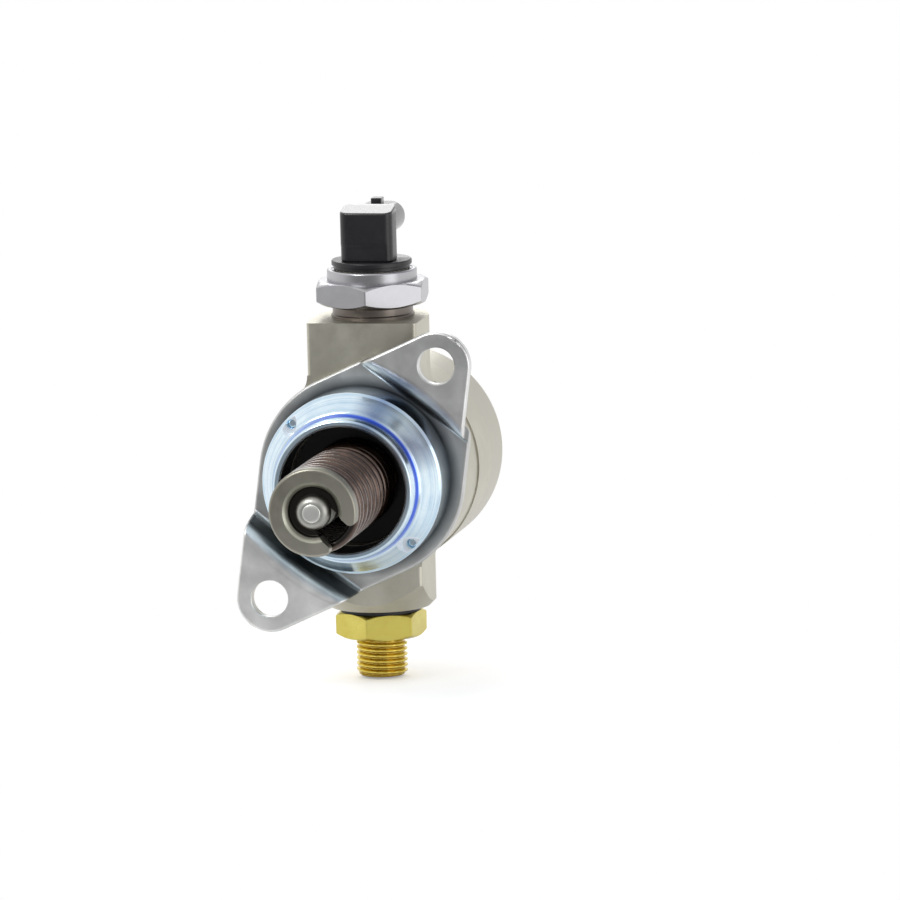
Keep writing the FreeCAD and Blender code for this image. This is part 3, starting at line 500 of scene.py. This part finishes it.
def brass_finish():
    """Bright brass; the cut thread is warmer than the milled hexagon, and its roots are brown."""
    finish = Finish("bright_brass", Metallic=1.0, Roughness=0.24)
    radius, along, fine, cloud = turning_marks(finish, "z")
    base = two_tones(finish, cloud, fine, (0.58, 0.47, 0.09, 1), (0.72, 0.64, 0.17, 1))
    cut = finish.below(along, -0.0480, -0.0470)
    root = cut * finish.below(radius, 0.0061, 0.0068)
    base = finish.mix(cut * 0.7, base, (0.90, 0.70, 0.15, 1))
    base = finish.mix(root * 0.6, base, (0.34, 0.20, 0.035, 1))
    rough = worn_roughness(finish, cloud, fine, 0.15, 0.3)
    normal = finish.bump(fine, 0.000004, 0.6)
    return finish.feed(Base_Color=base, Roughness=rough, Normal=normal)


def plunger_finish():
    """Ground steel: the flat tip is lighter, and the flank of the dome has painted shade."""
    finish = Finish("plunger_steel", Metallic=1.0, Roughness=0.34)
    radius, _, fine, cloud = turning_marks(finish, "y", clouds=(500.0, 3.0))
    base = two_tones(finish, cloud, fine, (0.50, 0.50, 0.46, 1), (0.60, 0.60, 0.56, 1))
    tip = finish.below(radius, 0.0023, 0.0025)
    base = finish.mix(tip, base, (0.86, 0.86, 0.82, 1))
    # painted shade: the flank of the dome is painted darker
    dome_shade = finish.between(radius, 0.0029, 0.0046)
    base = finish.mix(dome_shade * 0.8, base, (0.16, 0.155, 0.14, 1))
    rough = worn_roughness(finish, cloud, fine, 0.3, 0.42)
    normal = finish.bump(fine, 0.00001, 0.4)
    return finish.feed(Base_Color=base, Roughness=rough, Normal=normal)


nickel = nickel_finish()
pressed_steel = plate_finish()
zinc = zinc_finish()
bright_y = turned_metal("bright_steel_front", (0.55, 0.55, 0.55), (0.46, 0.46, 0.46), 0.26, "y")
turned_nickel = turned_metal(
    "turned_nickel", (0.55, 0.53, 0.455), (0.46, 0.44, 0.37), 0.38, "y", rings=1.5
)
valve_steel = valve_finish()
hard_steel = turned_metal("ground_steel", (0.62, 0.62, 0.59), (0.52, 0.52, 0.49), 0.32, "y")
plunger_steel = plunger_finish()
retainer_steel = retainer_finish()
brass = brass_finish()
dark_steel = turned_metal("dark_steel", (0.06, 0.06, 0.06), (0.03, 0.03, 0.03), 0.45, "y")


def spring_finish():
    """Oiled steel with painted shade: the inside of each coil is nearly black, the outside plain.
    """
    oil = {"Coat_Weight": 1.0, "Coat_Roughness": 0.12}
    finish = Finish("oiled_spring_steel", Metallic=0.9, Roughness=0.3, **oil)
    x, _, z = finish.parts()
    radius = (x * x + z * z) ** 0.5
    cloud = finish.noise(300.0, 3.0, 0.5)
    fine = finish.noise(1800.0, 2.0, 0.5)
    tone = finish.between(cloud, 0.35, 0.65)
    base = finish.mix(tone, (0.055, 0.028, 0.018, 1), (0.13, 0.075, 0.052, 1))
    # painted shade: the inside of each coil is painted nearly black, the outside keeps the plain
    # colour
    gap_shade_ramp = finish.between(radius, 0.0106, 0.0119)
    base = finish.mix(gap_shade_ramp, (0.012, 0.007, 0.005, 1), base)
    rough = finish.between(cloud, 0.3, 0.7, 0.2, 0.3)
    return finish.feed(Base_Color=base, Roughness=rough, Normal=finish.bump(fine, 0.00001, 0.2))


def plastic_finish(name, colour, roughness, glossy_top=False):
    """Moulded plastic or rubber; the top of the connector can be polished by handling."""
    finish = Finish(name, Roughness=roughness, IOR=1.5, Coat_Weight=0.0, Coat_Roughness=0.1)
    grain = finish.noise(2400.0, 3.0, 0.6)
    cloud = finish.noise(140.0, 3.0, 0.6)
    lighter = tuple(min(1.0, c * 1.5 + 0.004) for c in colour)
    base = finish.mix(finish.between(cloud, 0.3, 0.7), (*colour, 1), (*lighter, 1))
    rough = finish.between(grain, 0.3, 0.7, roughness - 0.05, roughness + 0.05)
    if glossy_top:
        _, y, z = finish.parts()
        polished = finish.between(z, 0.0698, 0.0706) + finish.between(y, 0.0328, 0.0340)
        finish.feed(Coat_Weight=finish.between(polished, 0.0, 1.0, 0.0, 0.8))
    return finish.feed(Base_Color=base, Roughness=rough, Normal=finish.bump(grain, 0.00001, 0.3))


spring_steel = spring_finish()
black_plastic = plastic_finish("black_plastic", (0.007, 0.006, 0.008), 0.34, True)
black_rubber = plastic_finish("black_rubber", (0.014, 0.014, 0.014), 0.6)
pale_plastic = plastic_finish("pale_plastic", (0.55, 0.52, 0.42), 0.45)
copper = turned_metal("enamelled_copper", (0.62, 0.28, 0.14), (0.45, 0.18, 0.09), 0.3, "z")

# %% [markdown]
# Every solid of the frame gets one finish. Most of them stay hidden inside, but a part that is
# opened later has to look right there too. Only the material slots of a solid are touched.

# %% Dress the CAD nodes
dress = {
    "pump_body": nickel,
    "rear_cap": turned_nickel,
    "flange_plate": pressed_steel,
    "pilot_ring": zinc,
    "spring_retainer": retainer_steel,
    "plunger": plunger_steel,
    "plunger_spring": spring_steel,
    "plunger_sleeve": hard_steel,
    "seal_carrier": dark_steel,
    "plunger_seal": black_rubber,
    "damper_capsules": bright_y,
    "damper_rings": bright_y,
    "inlet_stub": bright_y,
    "inlet_filter": bright_y,
    "solenoid_housing": valve_steel,
    "solenoid_seal": black_rubber,
    "solenoid_core": dark_steel,
    "coil_bobbin": pale_plastic,
    "coil_winding": copper,
    "armature": dark_steel,
    "inlet_valve": hard_steel,
    "inlet_seat": hard_steel,
    "return_spring": spring_steel,
    "connector_housing": black_plastic,
    "terminal_pins": bright_y,
    "outlet_washer": dark_steel,
    "outlet_fitting": brass,
    "outlet_seat": hard_steel,
    "outlet_ball": hard_steel,
    "outlet_spring": spring_steel,
}
for node, material in dress.items():
    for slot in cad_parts[node].material_slots:
        slot.material = material
print("dressed nodes:", len(dress))

# %% [markdown]
# Now the pieces themselves, each in the place that the drawing gives it. The brass union comes
# first. Its hexagon has turned chamfers, so the edge of each flat is an arc. A bevel would not give
# that arc, but it is easy to work out: the cone and the flat meet at one height for each angle.


# %% Hexagon with turned chamfers
def hexagon(across, corner_angle, low, high, inside, soft=0.25, circle=0.2):
    """Closed grid of a hexagonal collar on the valve axis.

    The distance of a flat is across / 2 / cos(angle from the middle of the flat), with corners
    rounded to the soft radius. A chamfer of 30 degrees starts at a circle a little inside the
    flats, so it comes down by (distance - circle) x tan 30 at each angle.
    """
    flat = across / 2.0
    angle = np.linspace(0.0, 2.0 * math.pi, 360, endpoint=False)
    off = np.abs((angle - math.radians(corner_angle) + math.pi / 6) % (math.pi / 3) - math.pi / 6)
    centre = (flat - soft) / math.cos(math.pi / 6)
    beside = centre * np.sin(off)
    round_out = centre * np.cos(off) + np.sqrt(np.maximum(soft**2 - beside**2, 0.0))
    straight = flat / np.cos(math.pi / 6 - off)
    turn_at = math.pi / 6 - math.atan((flat - soft) * math.tan(math.pi / 6) / flat)
    distance = np.where(off < turn_at, round_out, straight)
    drop = (distance - (flat - circle)) * math.tan(math.pi / 6)
    start = 0.0 * angle + flat - circle
    rows = [
        (0.0 * angle + inside, 0.0 * angle + low),
        (start - 0.3, 0.0 * angle + low),
        (start, 0.0 * angle + low),
        (0.96 * distance + 0.04 * start, low + 0.96 * drop),
        (distance, low + drop + 0.04),
        (distance, low + drop + 0.12),
        (distance, high - drop - 0.12),
        (distance, high - drop - 0.04),
        (0.96 * distance + 0.04 * start, high - 0.96 * drop),
        (start, 0.0 * angle + high),
        (start - 0.3, 0.0 * angle + high),
        (0.0 * angle + inside, 0.0 * angle + high),
    ]
    radius = np.array([row[0] for row in rows])
    height = np.array([row[1] for row in rows])
    x, y = radius * np.cos(angle), VALVE_Y + radius * np.sin(angle)
    return np.stack([x, y, height], axis=-1)


# %% [markdown]
# The male thread is a real helix. The depth at a point depends only on how far the point is along
# the pitch, once its share of the turn is taken off. At both ends the thread runs out into a plain
# chamfer and a plain relief.


# %% Thread of the union
def thread(major, pitch, deep, relief, high, low, chamfer, columns=240):
    """Grid of a male thread on the valve axis, from its upper relief to its lower end.

    Radius = major - deep x tooth(fraction of (height / pitch + angle / turn)), where the tooth goes
    0, 0, 1, 1, 0 over one pitch. It is then held inside the relief above and the chamfer below.
    """
    angle = np.linspace(0.0, 2.0 * math.pi, columns, endpoint=False)
    height = np.linspace(high, low, int((high - low) / pitch * 16) + 1)[:, None]
    share = (height / pitch + angle / (2.0 * math.pi)) % 1.0
    tooth = np.interp(share, [0.0, 0.14, 0.42, 0.6, 0.88, 1.0], [0.0, 0.0, 1.0, 1.0, 0.0, 0.0])
    radius = major - deep * tooth
    radius = np.minimum(radius, relief + np.maximum(0.0, high - 1.0 - height) * 1.2)
    radius = np.minimum(radius, major - chamfer + (height - low) * 1.0)
    x, y = radius * np.cos(angle), VALVE_Y + radius * np.sin(angle)
    return np.stack([x, y, height + 0.0 * angle], axis=-1)


inside = spun(
    rounded(
        [
            (5.9, -58.1, 0), (4.6, -58.1, 0.15), (2.5, -54.7, 0.2), (2.5, -42.8, 0),
            (4.0, -42.8, 0), (4.0, -25.8, 0), (7.3, -25.8, 0), (7.9, -26.4, 0), (7.9, -40.2, 0),
            (8.8, -40.2, 0), (8.8, -47.2, 0), (6.2, -47.2, 0),
        ],
        closed=False,
    ),
    about="z",
    segments=240,
)
screw = thread(7.0, 1.5, 0.92, 6.2, -47.2, -58.1, 1.1)
nut = hexagon(22.0, 23.3, -47.2, -40.1, 8.4)
union_grids = [(nut, True, True), (inside, False, True), (screw, False, True)]
union = piece("union", union_grids, brass, sharp=38)
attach(union, "housing")
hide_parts("outlet_fitting")

# %% [markdown]
# The solenoid housing is one turned piece with a hexagon milled on it: a neck in a groove, the
# hexagon, and a collar that is rolled over the plastic.

# %% Solenoid housing
turned_part = spun(
    rounded(
        [
            (4.44, 27.0, 0), (8.95, 27.0, 0), (8.95, 41.4, 0), (11.4, 41.4, 0),
            (11.4, 42.0, 0.15), (11.0, 42.4, 0.2), (11.0, 44.2, 0.3), (11.9, 45.1, 0.1),
            (12.3, 46.0, 0), (12.3, 54.5, 0.6), (11.1, 54.5, 0.1), (11.05, 54.3, 0),
            (10.2, 54.3, 0), (10.2, 44.0, 0), (4.44, 44.0, 0),
        ]
    ),
    about="z",
    segments=240,
)
hex_part = hexagon(29.0, 35.8, 45.0, 51.5, 11.5)
solenoid_grids = [(hex_part, True, True), (turned_part, True, True)]
solenoid = piece("solenoid", solenoid_grids, valve_steel, sharp=32)
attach(solenoid, "housing")
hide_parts("solenoid_housing")

# %% [markdown]
# The plunger is ground on centres: a small flat tip, a full dome, a neck that the retainer holds,
# and a long shaft. A spun profile gives the dome its true curve.

# %% Plunger
swing = np.linspace(0.0, 1.0, 28) * math.pi / 2
dome = np.c_[2.55 + 2.35 * np.sin(swing), -51.45 + 2.9 * (1.0 - np.cos(swing))]
tip = np.array([[0.0, -51.6], [1.2, -51.6], [2.25, -51.58], [2.4, -51.5], [2.48, -51.42]])
shaft = rounded(
    [
        (4.9, -48.3, 0), (3.7, -48.3, 0), (3.7, -43.9, 0), (5.0, -43.3, 0.2), (5.0, 20.5, 0),
        (4.5, 21.0, 0), (0.0, 21.0, 0),
    ],
    closed=False,
)
rod = spun(np.concatenate([tip, dome, shaft]), segments=128)
plunger = piece("plunger_rod", [(rod, False, True)], plunger_steel)
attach(plunger, "plunger_group")
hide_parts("plunger")

# %% [markdown]
# The main spring closes when the cam lifts the plunger. It is one wire on a helix, with a tighter
# pitch near both ends and flat ground ends.


# %% Plunger spring
def wound(mean, wire, turns, low, high, closed=0.9, ramp=0.5, per_turn=72, around=20):
    """Grid of a wire on a helix about the plunger axis, ground flat at both ends.

    The pitch is tight for the closed share of a turn, widens over the ramp, and its running total
    gives the height. The wire's circle stands on the helix: one way out from the axis, the other
    across the wire's own direction. Grinding holds every point between the two ends.
    """
    tight, dip = 1.03 * wire, 0.28 * wire
    span = high - low - 2.0 * dip
    wide = tight + (span - turns * tight) / (turns - 2.0 * closed - ramp)
    turn = np.linspace(0.0, turns, int(turns * per_turn) + 1)
    from_end = np.minimum(turn, turns - turn)
    pitch = tight + (wide - tight) * np.clip((from_end - closed) / ramp, 0.0, 1.0)
    step = 0.5 * (pitch[1:] + pitch[:-1]) * np.diff(turn)
    along = dip + np.concatenate([[0.0], np.cumsum(step)])
    along = dip + (along - dip) * span / (along[-1] - dip)
    angle = 2.0 * math.pi * turn
    out = np.stack([np.cos(angle), 0.0 * angle, np.sin(angle)], axis=-1)
    middle = mean * out + np.stack([0.0 * along, high - along, 0.0 * along], axis=-1)
    forward = np.gradient(middle, axis=0)
    forward /= np.linalg.norm(forward, axis=1)[:, None]
    across = np.cross(forward, out)
    around_wire = np.linspace(0.0, 2.0 * math.pi, around, endpoint=False)
    c, s = np.cos(around_wire)[:, None], np.sin(around_wire)[:, None]
    points = middle[:, None] + 0.5 * wire * (c * out[:, None] + s * across[:, None])
    first = np.repeat(middle[:1, None], around, axis=1)
    last = np.repeat(middle[-1:, None], around, axis=1)
    points = np.concatenate([first, points, last])
    points[..., 1] = np.clip(points[..., 1], low, high)
    return points


SPRING_FRONT, SPRING_SEAT, CAM_STROKE = -46.75, 4.0, 4.0
main_coils = wound(10.65, 2.9, 10.6, SPRING_FRONT, SPRING_SEAT)
coils = piece("main_spring", [(main_coils, False, True)], spring_steel, 40)
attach(coils, "housing")
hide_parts("plunger_spring")
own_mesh(coils)

# %% [markdown]
# Two small springs inside close the valves. They are wound by the same formula, and then turned to
# stand on the valve axis.


# %% Valve springs
def valve_spring(name, node, radius, wire, turns):
    """A small spring in the place of its solid."""
    low, high = (corner.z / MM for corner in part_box(node))
    grid = wound(radius - wire / 2.0, wire, turns, low, high, per_turn=48, around=14)
    upright = np.stack([grid[..., 0], VALVE_Y + grid[..., 2], grid[..., 1]], axis=-1)
    spring = piece(name, [(upright, False, True)], spring_steel, 40)
    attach(spring, "housing")
    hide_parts(node)
    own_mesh(spring)


valve_spring("armature_spring", "return_spring", 2.4, 0.7, 6.0)
valve_spring("ball_spring", "outlet_spring", 3.3, 0.7, 7.0)

# %% [markdown]
# The pilot ring is turned from bar and zinc plated. From the bore outwards it has a rounded lip, a
# hollow where the blue of the plating gathers, a shallow cone, and a bright chamfer. The two
# notches for the wrench are drilled, so here a drill shape is taken away from the spun ring.


# %% Take one shape away from another
def carve(thing, *tools):
    """Takes the tools' solid shapes away from a piece, then shades the new edges sharp."""
    for tool in tools:
        cut = thing.modifiers.new("cut", "BOOLEAN")
        cut.operation, cut.solver, cut.object = "DIFFERENCE", "EXACT", tool
    bpy.context.view_layer.update()
    seen = thing.evaluated_get(bpy.context.evaluated_depsgraph_get())
    mesh = bpy.data.meshes.new_from_object(seen)
    thing.modifiers.clear()
    old, thing.data = thing.data, mesh
    bpy.data.meshes.remove(old)
    for tool in tools:
        bpy.data.objects.remove(tool)
    mesh.set_sharp_from_angle(angle=math.radians(30.0))
    print(thing.name, "carved, faces:", len(mesh.polygons))


def drill(name, x, z, corners, segments=64):
    """A spun tool whose axis is parallel to the plunger axis."""
    grid = spun(rounded(corners, closed=False), segments=segments)
    return piece(name, [(grid + np.array([x, 0.0, z]), False, True)])


# %% Pilot ring
ring_profile = rounded(
    [
        (17.2, -13.2, 0.7), (19.2, -13.2, 0.8), (19.75, -8.5, 1.5), (20.7, -8.1, 0.5),
        (24.2, -1.6, 0.35), (24.9, -0.9, 0.3), (24.9, 10.0, 0), (24.1, 10.8, 0), (20.65, 10.8, 0),
        (20.65, -1.0, 0), (17.2, -1.0, 0),
    ],
    steps=10,
)
ring = piece("pilot", [(spun(ring_profile, segments=360), True, True)], zinc)
notch = [
    (0.0, -20.0, 0), (2.6, -20.0, 0), (2.6, -1.9, 0.2), (1.3, -1.7, 0.1), (1.3, 0.8, 0.5),
    (0.0, 0.8, 0),
]
carve(
    ring,
    drill("notch_tool_a", -NOTCH_AT, NOTCH_AT, notch),
    drill("notch_tool_b", NOTCH_AT, -NOTCH_AT, notch),
)
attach(ring, "housing")
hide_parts("pilot_ring")

# %% [markdown]
# The flange plate is stamped and then pressed, so its ears stand forward of its middle on an
# S-bend. It could be a flat plate bent by a modifier, but the far edge of the bend is an arc about
# the ring while the near edge is straight, so the bend is written out as a formula.


# %% Flange plate
EAR_X, EAR_Z, EAR_R = 24.0, 32.2, 9.3
MIDDLE_R = 28.6
REACH = 40.1602  # from the middle of the plate to the middle of an ear


def half_width(d, inset):
    """Half width of the plate at a distance d along the ears.

    A round middle, then straight tangents, then round ears.
    """
    middle, ear = MIDDLE_R - inset, EAR_R - inset
    turn_to = math.acos((MIDDLE_R - EAR_R) / REACH)
    far, near = REACH + ear * math.cos(turn_to), middle * math.cos(turn_to)
    size = np.abs(d)
    round_middle = np.sqrt(np.maximum(middle**2 - size**2, 0.0))
    line = (middle - size * math.cos(turn_to)) / math.sin(turn_to)
    round_ear = np.sqrt(np.maximum(ear**2 - (size - REACH) ** 2, 0.0))
    return np.where(size < near, round_middle, np.where(size < far, line, round_ear))


def bend_line():
    """Section of one half of the plate: (distance along the ear, depth) of its front skin.

    The front runs from the middle, level 10.8 behind, over an arc of 1.5, up the slanted wall, over
    an arc of 4.5 to the level of the ear.
    """
    corners = [(0.0, 10.8, 0), (26.24, 10.8, 1.5), (29.74, 0.0, 4.5), (49.5, 0.0, 0)]
    front = rounded(corners, steps=16, closed=False)
    legs = [front[:1]]
    for a, b in zip(front[:-1], front[1:]):
        count = max(1, int(np.linalg.norm(b - a) / 0.5))
        legs.append(a + (b - a) * np.linspace(0.0, 1.0, count + 1)[1:, None])
    return np.concatenate(legs)


def pressed_plate(thick=3.0, edge=0.75, across=64):
    """Grid of the whole plate: stations along both ears, and one loop round the section at each.

    A loop point has a share of the width (-1..1), a depth under the front skin and an inset from
    the outline. The far end of the bend is drawn in by 0.65 x (33 - root(33^2 - t^2)) at a
    distance t from the ear's line, and that pull fades to nothing at the straight near end.
    """
    line = bend_line()
    line = np.concatenate([line[::-1] * [-1.0, 1.0], line[1:]])
    swing = np.linspace(0.0, math.pi / 2, 9)
    share = np.linspace(-1.0, 1.0, across)
    width = np.concatenate([share, np.ones(9), np.ones(9), share[::-1], -np.ones(9), -np.ones(9)])
    front_in, front_deep = edge * (1 - np.sin(swing)), edge * (1 - np.cos(swing))
    side_in = np.concatenate([np.full(across, edge), front_in, front_in[::-1]])
    inset = np.concatenate([side_in, side_in])
    deep = np.concatenate(
        [np.zeros(across), front_deep, thick - front_deep[::-1], np.full(across, thick),
         thick - front_deep, front_deep[::-1]]
    )
    end = REACH + EAR_R - inset[None, :]
    d0 = np.clip(line[:, 0][:, None], -end, end)
    y0 = line[:, 1][:, None] + 0.0 * d0
    t0 = width * half_width(d0, inset)
    pull = 0.65 * (33.0 - np.sqrt(33.0**2 - np.minimum(np.abs(t0), 30.0) ** 2))
    fade = np.clip((np.abs(d0) - 25.15) / 7.85, 0.0, 1.0)
    fade = np.where(np.abs(d0) > 33.0, np.maximum(0.0, 1.0 - (np.abs(d0) - 33.0) / 10.0), fade)
    d = d0 - np.sign(d0) * pull * fade
    slope_d, slope_y = np.gradient(d, axis=0), np.gradient(y0, axis=0)
    long = np.maximum(np.hypot(slope_d, slope_y), 1e-9)
    d = np.clip(d - deep * slope_y / long, -end, end)
    y = y0 + deep * slope_d / long
    t = width * half_width(d, inset)
    lean = math.atan2(EAR_Z, EAR_X)
    x = d * math.cos(lean) - t * math.sin(lean)
    z = d * math.sin(lean) + t * math.cos(lean)
    return np.stack([x, y, z], axis=-1)


plate = piece("ear_plate", [(pressed_plate(), False, True)], pressed_steel, sharp=40, merge=2e-5)
middle_hole = [(0.0, 5.0, 0), (20.65, 5.0, 0), (20.65, 20.0, 0), (0.0, 20.0, 0)]
bolt_hole = [
    (0.0, -3.0, 0), (7.99, -3.0, 0), (4.99, 0.35, 0.5), (4.99, 2.75, 0.3), (7.24, 5.0, 0),
    (0.0, 5.0, 0),
]
carve(
    plate,
    drill("middle_tool", 0.0, 0.0, middle_hole, 160),
    drill("bolt_tool_a", EAR_X, EAR_Z, bolt_hole, 96),
    drill("bolt_tool_b", -EAR_X, -EAR_Z, bolt_hole, 96),
)
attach(plate, "housing")
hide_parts("flange_plate")

# %% [markdown]
# The connector is moulded, so every edge is soft. A rounded block is a stack of loops: each loop is
# a rectangle with round corners, and the loops near both ends shrink along a quarter circle.


# %% Soft blocks
def loop(wide, tall, corner, inset, steps=8):
    """Rectangle with round corners, made smaller by the inset; points go round from one corner."""
    half_w, half_t = wide / 2.0 - inset, tall / 2.0 - inset
    radius = max(corner - inset, 0.02)
    swing = np.linspace(0.0, math.pi / 2, steps + 1)
    out = []
    for k, (sx, sy) in enumerate([(1, 1), (-1, 1), (-1, -1), (1, -1)]):
        angle = swing + k * math.pi / 2
        out.append(
            np.c_[
                sx * (half_w - radius) + radius * np.cos(angle),
                sy * (half_t - radius) + radius * np.sin(angle),
            ]
        )
    return np.concatenate(out)


def block(low, high, corner, edge, along="z", steps=8, stations=1):
    """Closed grid of a block between two corners, with round edges and loops along an axis.

    Near an end the inset is edge x (1 - sin of the swing) and the height edge x (1 - cos), and each
    end face is five loops that shrink to its middle.
    """
    low, high = np.array(low, float), np.array(high, float)
    axis = "xyz".index(along)
    a, b = [k for k in range(3) if k != axis]
    size, middle = high - low, 0.5 * (low + high)
    swing = np.linspace(0.0, math.pi / 2, 6)
    insets, heights, shrink = [], [], []
    for part in (0.0, 0.25, 0.5, 0.75, 0.97):
        insets.append(edge), heights.append(0.0), shrink.append(part)
    for angle in swing:
        insets.append(edge * (1 - math.sin(angle))), heights.append(edge * (1 - math.cos(angle)))
        shrink.append(1.0)
    first = len(insets)
    rest = np.linspace(heights[-1], size[axis] - heights[-1], stations + 1)[1:-1]
    insets += [0.0] * len(rest) + insets[first - 1 :: -1]
    shrink += [1.0] * len(rest) + shrink[first - 1 :: -1]
    heights += list(rest) + [size[axis] - h for h in heights[first - 1 :: -1]]
    rows = []
    for inset, height, part in zip(insets, heights, shrink):
        flat = loop(size[a], size[b], corner, inset, steps) * part
        points = np.zeros((len(flat), 3))
        points[:, a], points[:, b] = flat[:, 0] + middle[a], flat[:, 1] + middle[b]
        points[:, axis] = low[axis] + height
        rows.append(points)
    return np.array(rows)


# %% Connector
base_profile = [
    (0.0, 54.5, 0), (10.4, 54.5, 0.1), (10.4, 55.6, 0.1), (11.0, 55.6, 0.15), (11.0, 57.0, 0.45),
    (0.0, 57.0, 0),
]
base = spun(rounded(base_profile, closed=False), about="z", segments=160)
tower = block((-7.3, 23.5, 56.9), (7.3, 32.5, 71.9), 2.4, 0.55, stations=24)
rise_share = np.clip((tower[..., 2] - 66.0) / 5.9, 0.0, 1.0)
tower[..., 2] -= 1.5 * rise_share * np.clip((31.6 - tower[..., 1]) / 8.1, 0.0, 1.0)
lower_panel = np.clip((61.6 - tower[..., 2]) / 0.35, 0.0, 1.0)
lower_panel = lower_panel * np.clip((26.5 - tower[..., 1]) / 1.2, 0.0, 1.0)
tower[..., 1] += 0.35 * lower_panel * np.clip((5.6 - tower[..., 0]) / 0.6, 0.0, 1.0)

swing = np.linspace(0.0, math.pi / 2, 6)
SOCKET_Z = 66.7
spots = [(0.6, 26.0), (0.0, 31.1), (0.0, 46.0)]  # (inset, y) of each loop of the socket
spots += [(0.5 * (1 - math.cos(s)), 46.1 + 0.5 * math.sin(s)) for s in swing]
spots += [(1.2 - 0.4 * (1 - math.sin(s)), 46.6 - 0.4 * (1 - math.cos(s))) for s in swing]
spots += [(1.2, 46.0), (1.2, 35.6)]
rows = []
for inset, y in spots:
    flat = loop(12.6, 8.2, 3.9, inset, 10)
    rows.append(np.c_[flat[:, 0], np.full(len(flat), y), flat[:, 1] + SOCKET_Z])
floor_of_room, front_end = rows[-1], rows[0]
middle = np.array([0.0, 0.0, SOCKET_Z])
rows.append(floor_of_room * [0.02, 1.0, 0.02] + middle * 0.98)
rows.insert(0, front_end * [0.02, 1.0, 0.02] + middle * 0.98)
socket = np.array(rows)

rib = block((-1.5, 31.5, 56.8), (1.5, 41.1, 63.4), 0.4, 0.3)
latch = block((-1.5, 38.5, 70.0), (1.5, 42.0, 72.6), 0.3, 0.25)
print("connector blocks:", tower.shape, socket.shape, rib.shape)
plug = piece(
    "plug_tower",
    [
        (base, False, True), (tower, False, True), (socket, False, True), (rib, False, True),
        (latch, False, True),
    ],
    black_plastic,
    sharp=35,
)
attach(plug, "housing")
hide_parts("connector_housing")

# %% [markdown]
# The studio is a white room with soft lamps. Behind the pump and above it all is white, which the
# camera and the shiny metal both see. The side that the photographer stands on is darker, as in any
# room, and that is what gives turned metal its grey bands. The floor keeps a soft shadow.


# %% Floor, surround and lamps
floor_paint = Finish("pale_floor", Roughness=0.8, Emission_Strength=1.0)
path = floor_paint.tree.nodes.new("ShaderNodeLightPath")
seen = Value(floor_paint, path.outputs["Is Camera Ray"])
speck = floor_paint.noise(40.0, 2.0, 0.5)
x, y, _ = floor_paint.parts()
away = (x * x + y * y) ** 0.5
floor_paint.feed(
    Base_Color=floor_paint.mix(speck, (0.93, 0.93, 0.93, 1.0), (0.96, 0.96, 0.96, 1.0)),
    Emission_Color=floor_paint.mix(seen, (0.0, 0.0, 0.0, 1.0), (0.3, 0.3, 0.3, 1.0)),
    Alpha=floor_paint.between(away, 0.07, 0.15, 1.0, 0.0),
)
floor_z = cad_box[0][2] / MM - 0.6
corners = np.array([[[-900, -900], [-900, 900]], [[900, -900], [900, 900]]], float)
floor_points = np.concatenate([corners, np.full((2, 2, 1), floor_z)], axis=-1)
floor = piece("floor", [(floor_points, False, False)], floor_paint.material)


def surround():
    """World colour: white for the camera, and for other rays white behind and grey in front."""
    world = bpy.data.worlds.new("white_surround")
    world.use_nodes = True
    room = Finish.__new__(Finish)
    room.tree = world.node_tree
    room.place = room.node("ShaderNodeTexCoord", {}, {}, "Generated")
    path = room.tree.nodes.new("ShaderNodeLightPath")
    camera_ray = Value(room, path.outputs["Is Camera Ray"])
    x, y, z = room.parts()
    front = room.between(y, -0.75, 0.05, 1.0, 0.0)
    above = room.between(z, 0.15, 0.75)
    right_side = room.between(x, 0.25, 0.9)
    shade = front * (1.0 - above * 0.75) * (1.0 - right_side * 0.6)
    shade = shade * (1.0 - room.between(x, -0.95, -0.6, 0.55, 0.0))
    towards_flag = x * 0.62 + y * 0.34 + z * 0.71
    flag = room.between(towards_flag, 0.72, 1.0)
    room_colour = room.mix(shade, (1.0, 1.0, 1.0, 1.0), (0.30, 0.30, 0.305, 1.0))
    room_colour = room.mix(flag * 0.8, room_colour, (0.10, 0.11, 0.16, 1.0))
    colour = room.mix(camera_ray, room_colour, (1.0, 1.0, 1.0, 1.0))
    background = world.node_tree.nodes["Background"]
    world.node_tree.links.new(colour.socket, background.inputs["Color"])
    background.inputs["Strength"].default_value = 1.0
    return world


bpy.context.scene.world = surround()


def lamp(name, at, size, watts):
    """A square soft lamp that looks at the origin."""
    data = bpy.data.lights.new(name, "AREA")
    data.shape, data.size, data.energy = "SQUARE", size, watts
    thing = bpy.data.objects.new(name, data)
    bpy.context.scene.collection.objects.link(thing)
    towards = -np.array(at, float)
    towards /= np.linalg.norm(towards)
    side = np.cross(towards, (0.0, 0.0, 1.0))
    side /= np.linalg.norm(side)
    place = np.eye(4)
    place[:3, 0], place[:3, 1] = side, np.cross(side, towards)
    place[:3, 2], place[:3, 3] = -towards, at
    thing.matrix_world = Matrix(place.tolist())


lamp("key_lamp", (-0.45, -0.75, 0.7), 0.35, 4.0)
lamp("side_lamp", (0.80, -0.46, 0.06), 0.6, 1.3)
lamp("back_lamp", (-0.2, 0.85, 0.55), 0.5, 1.6)
bpy.context.scene.view_settings.view_transform = "Standard"
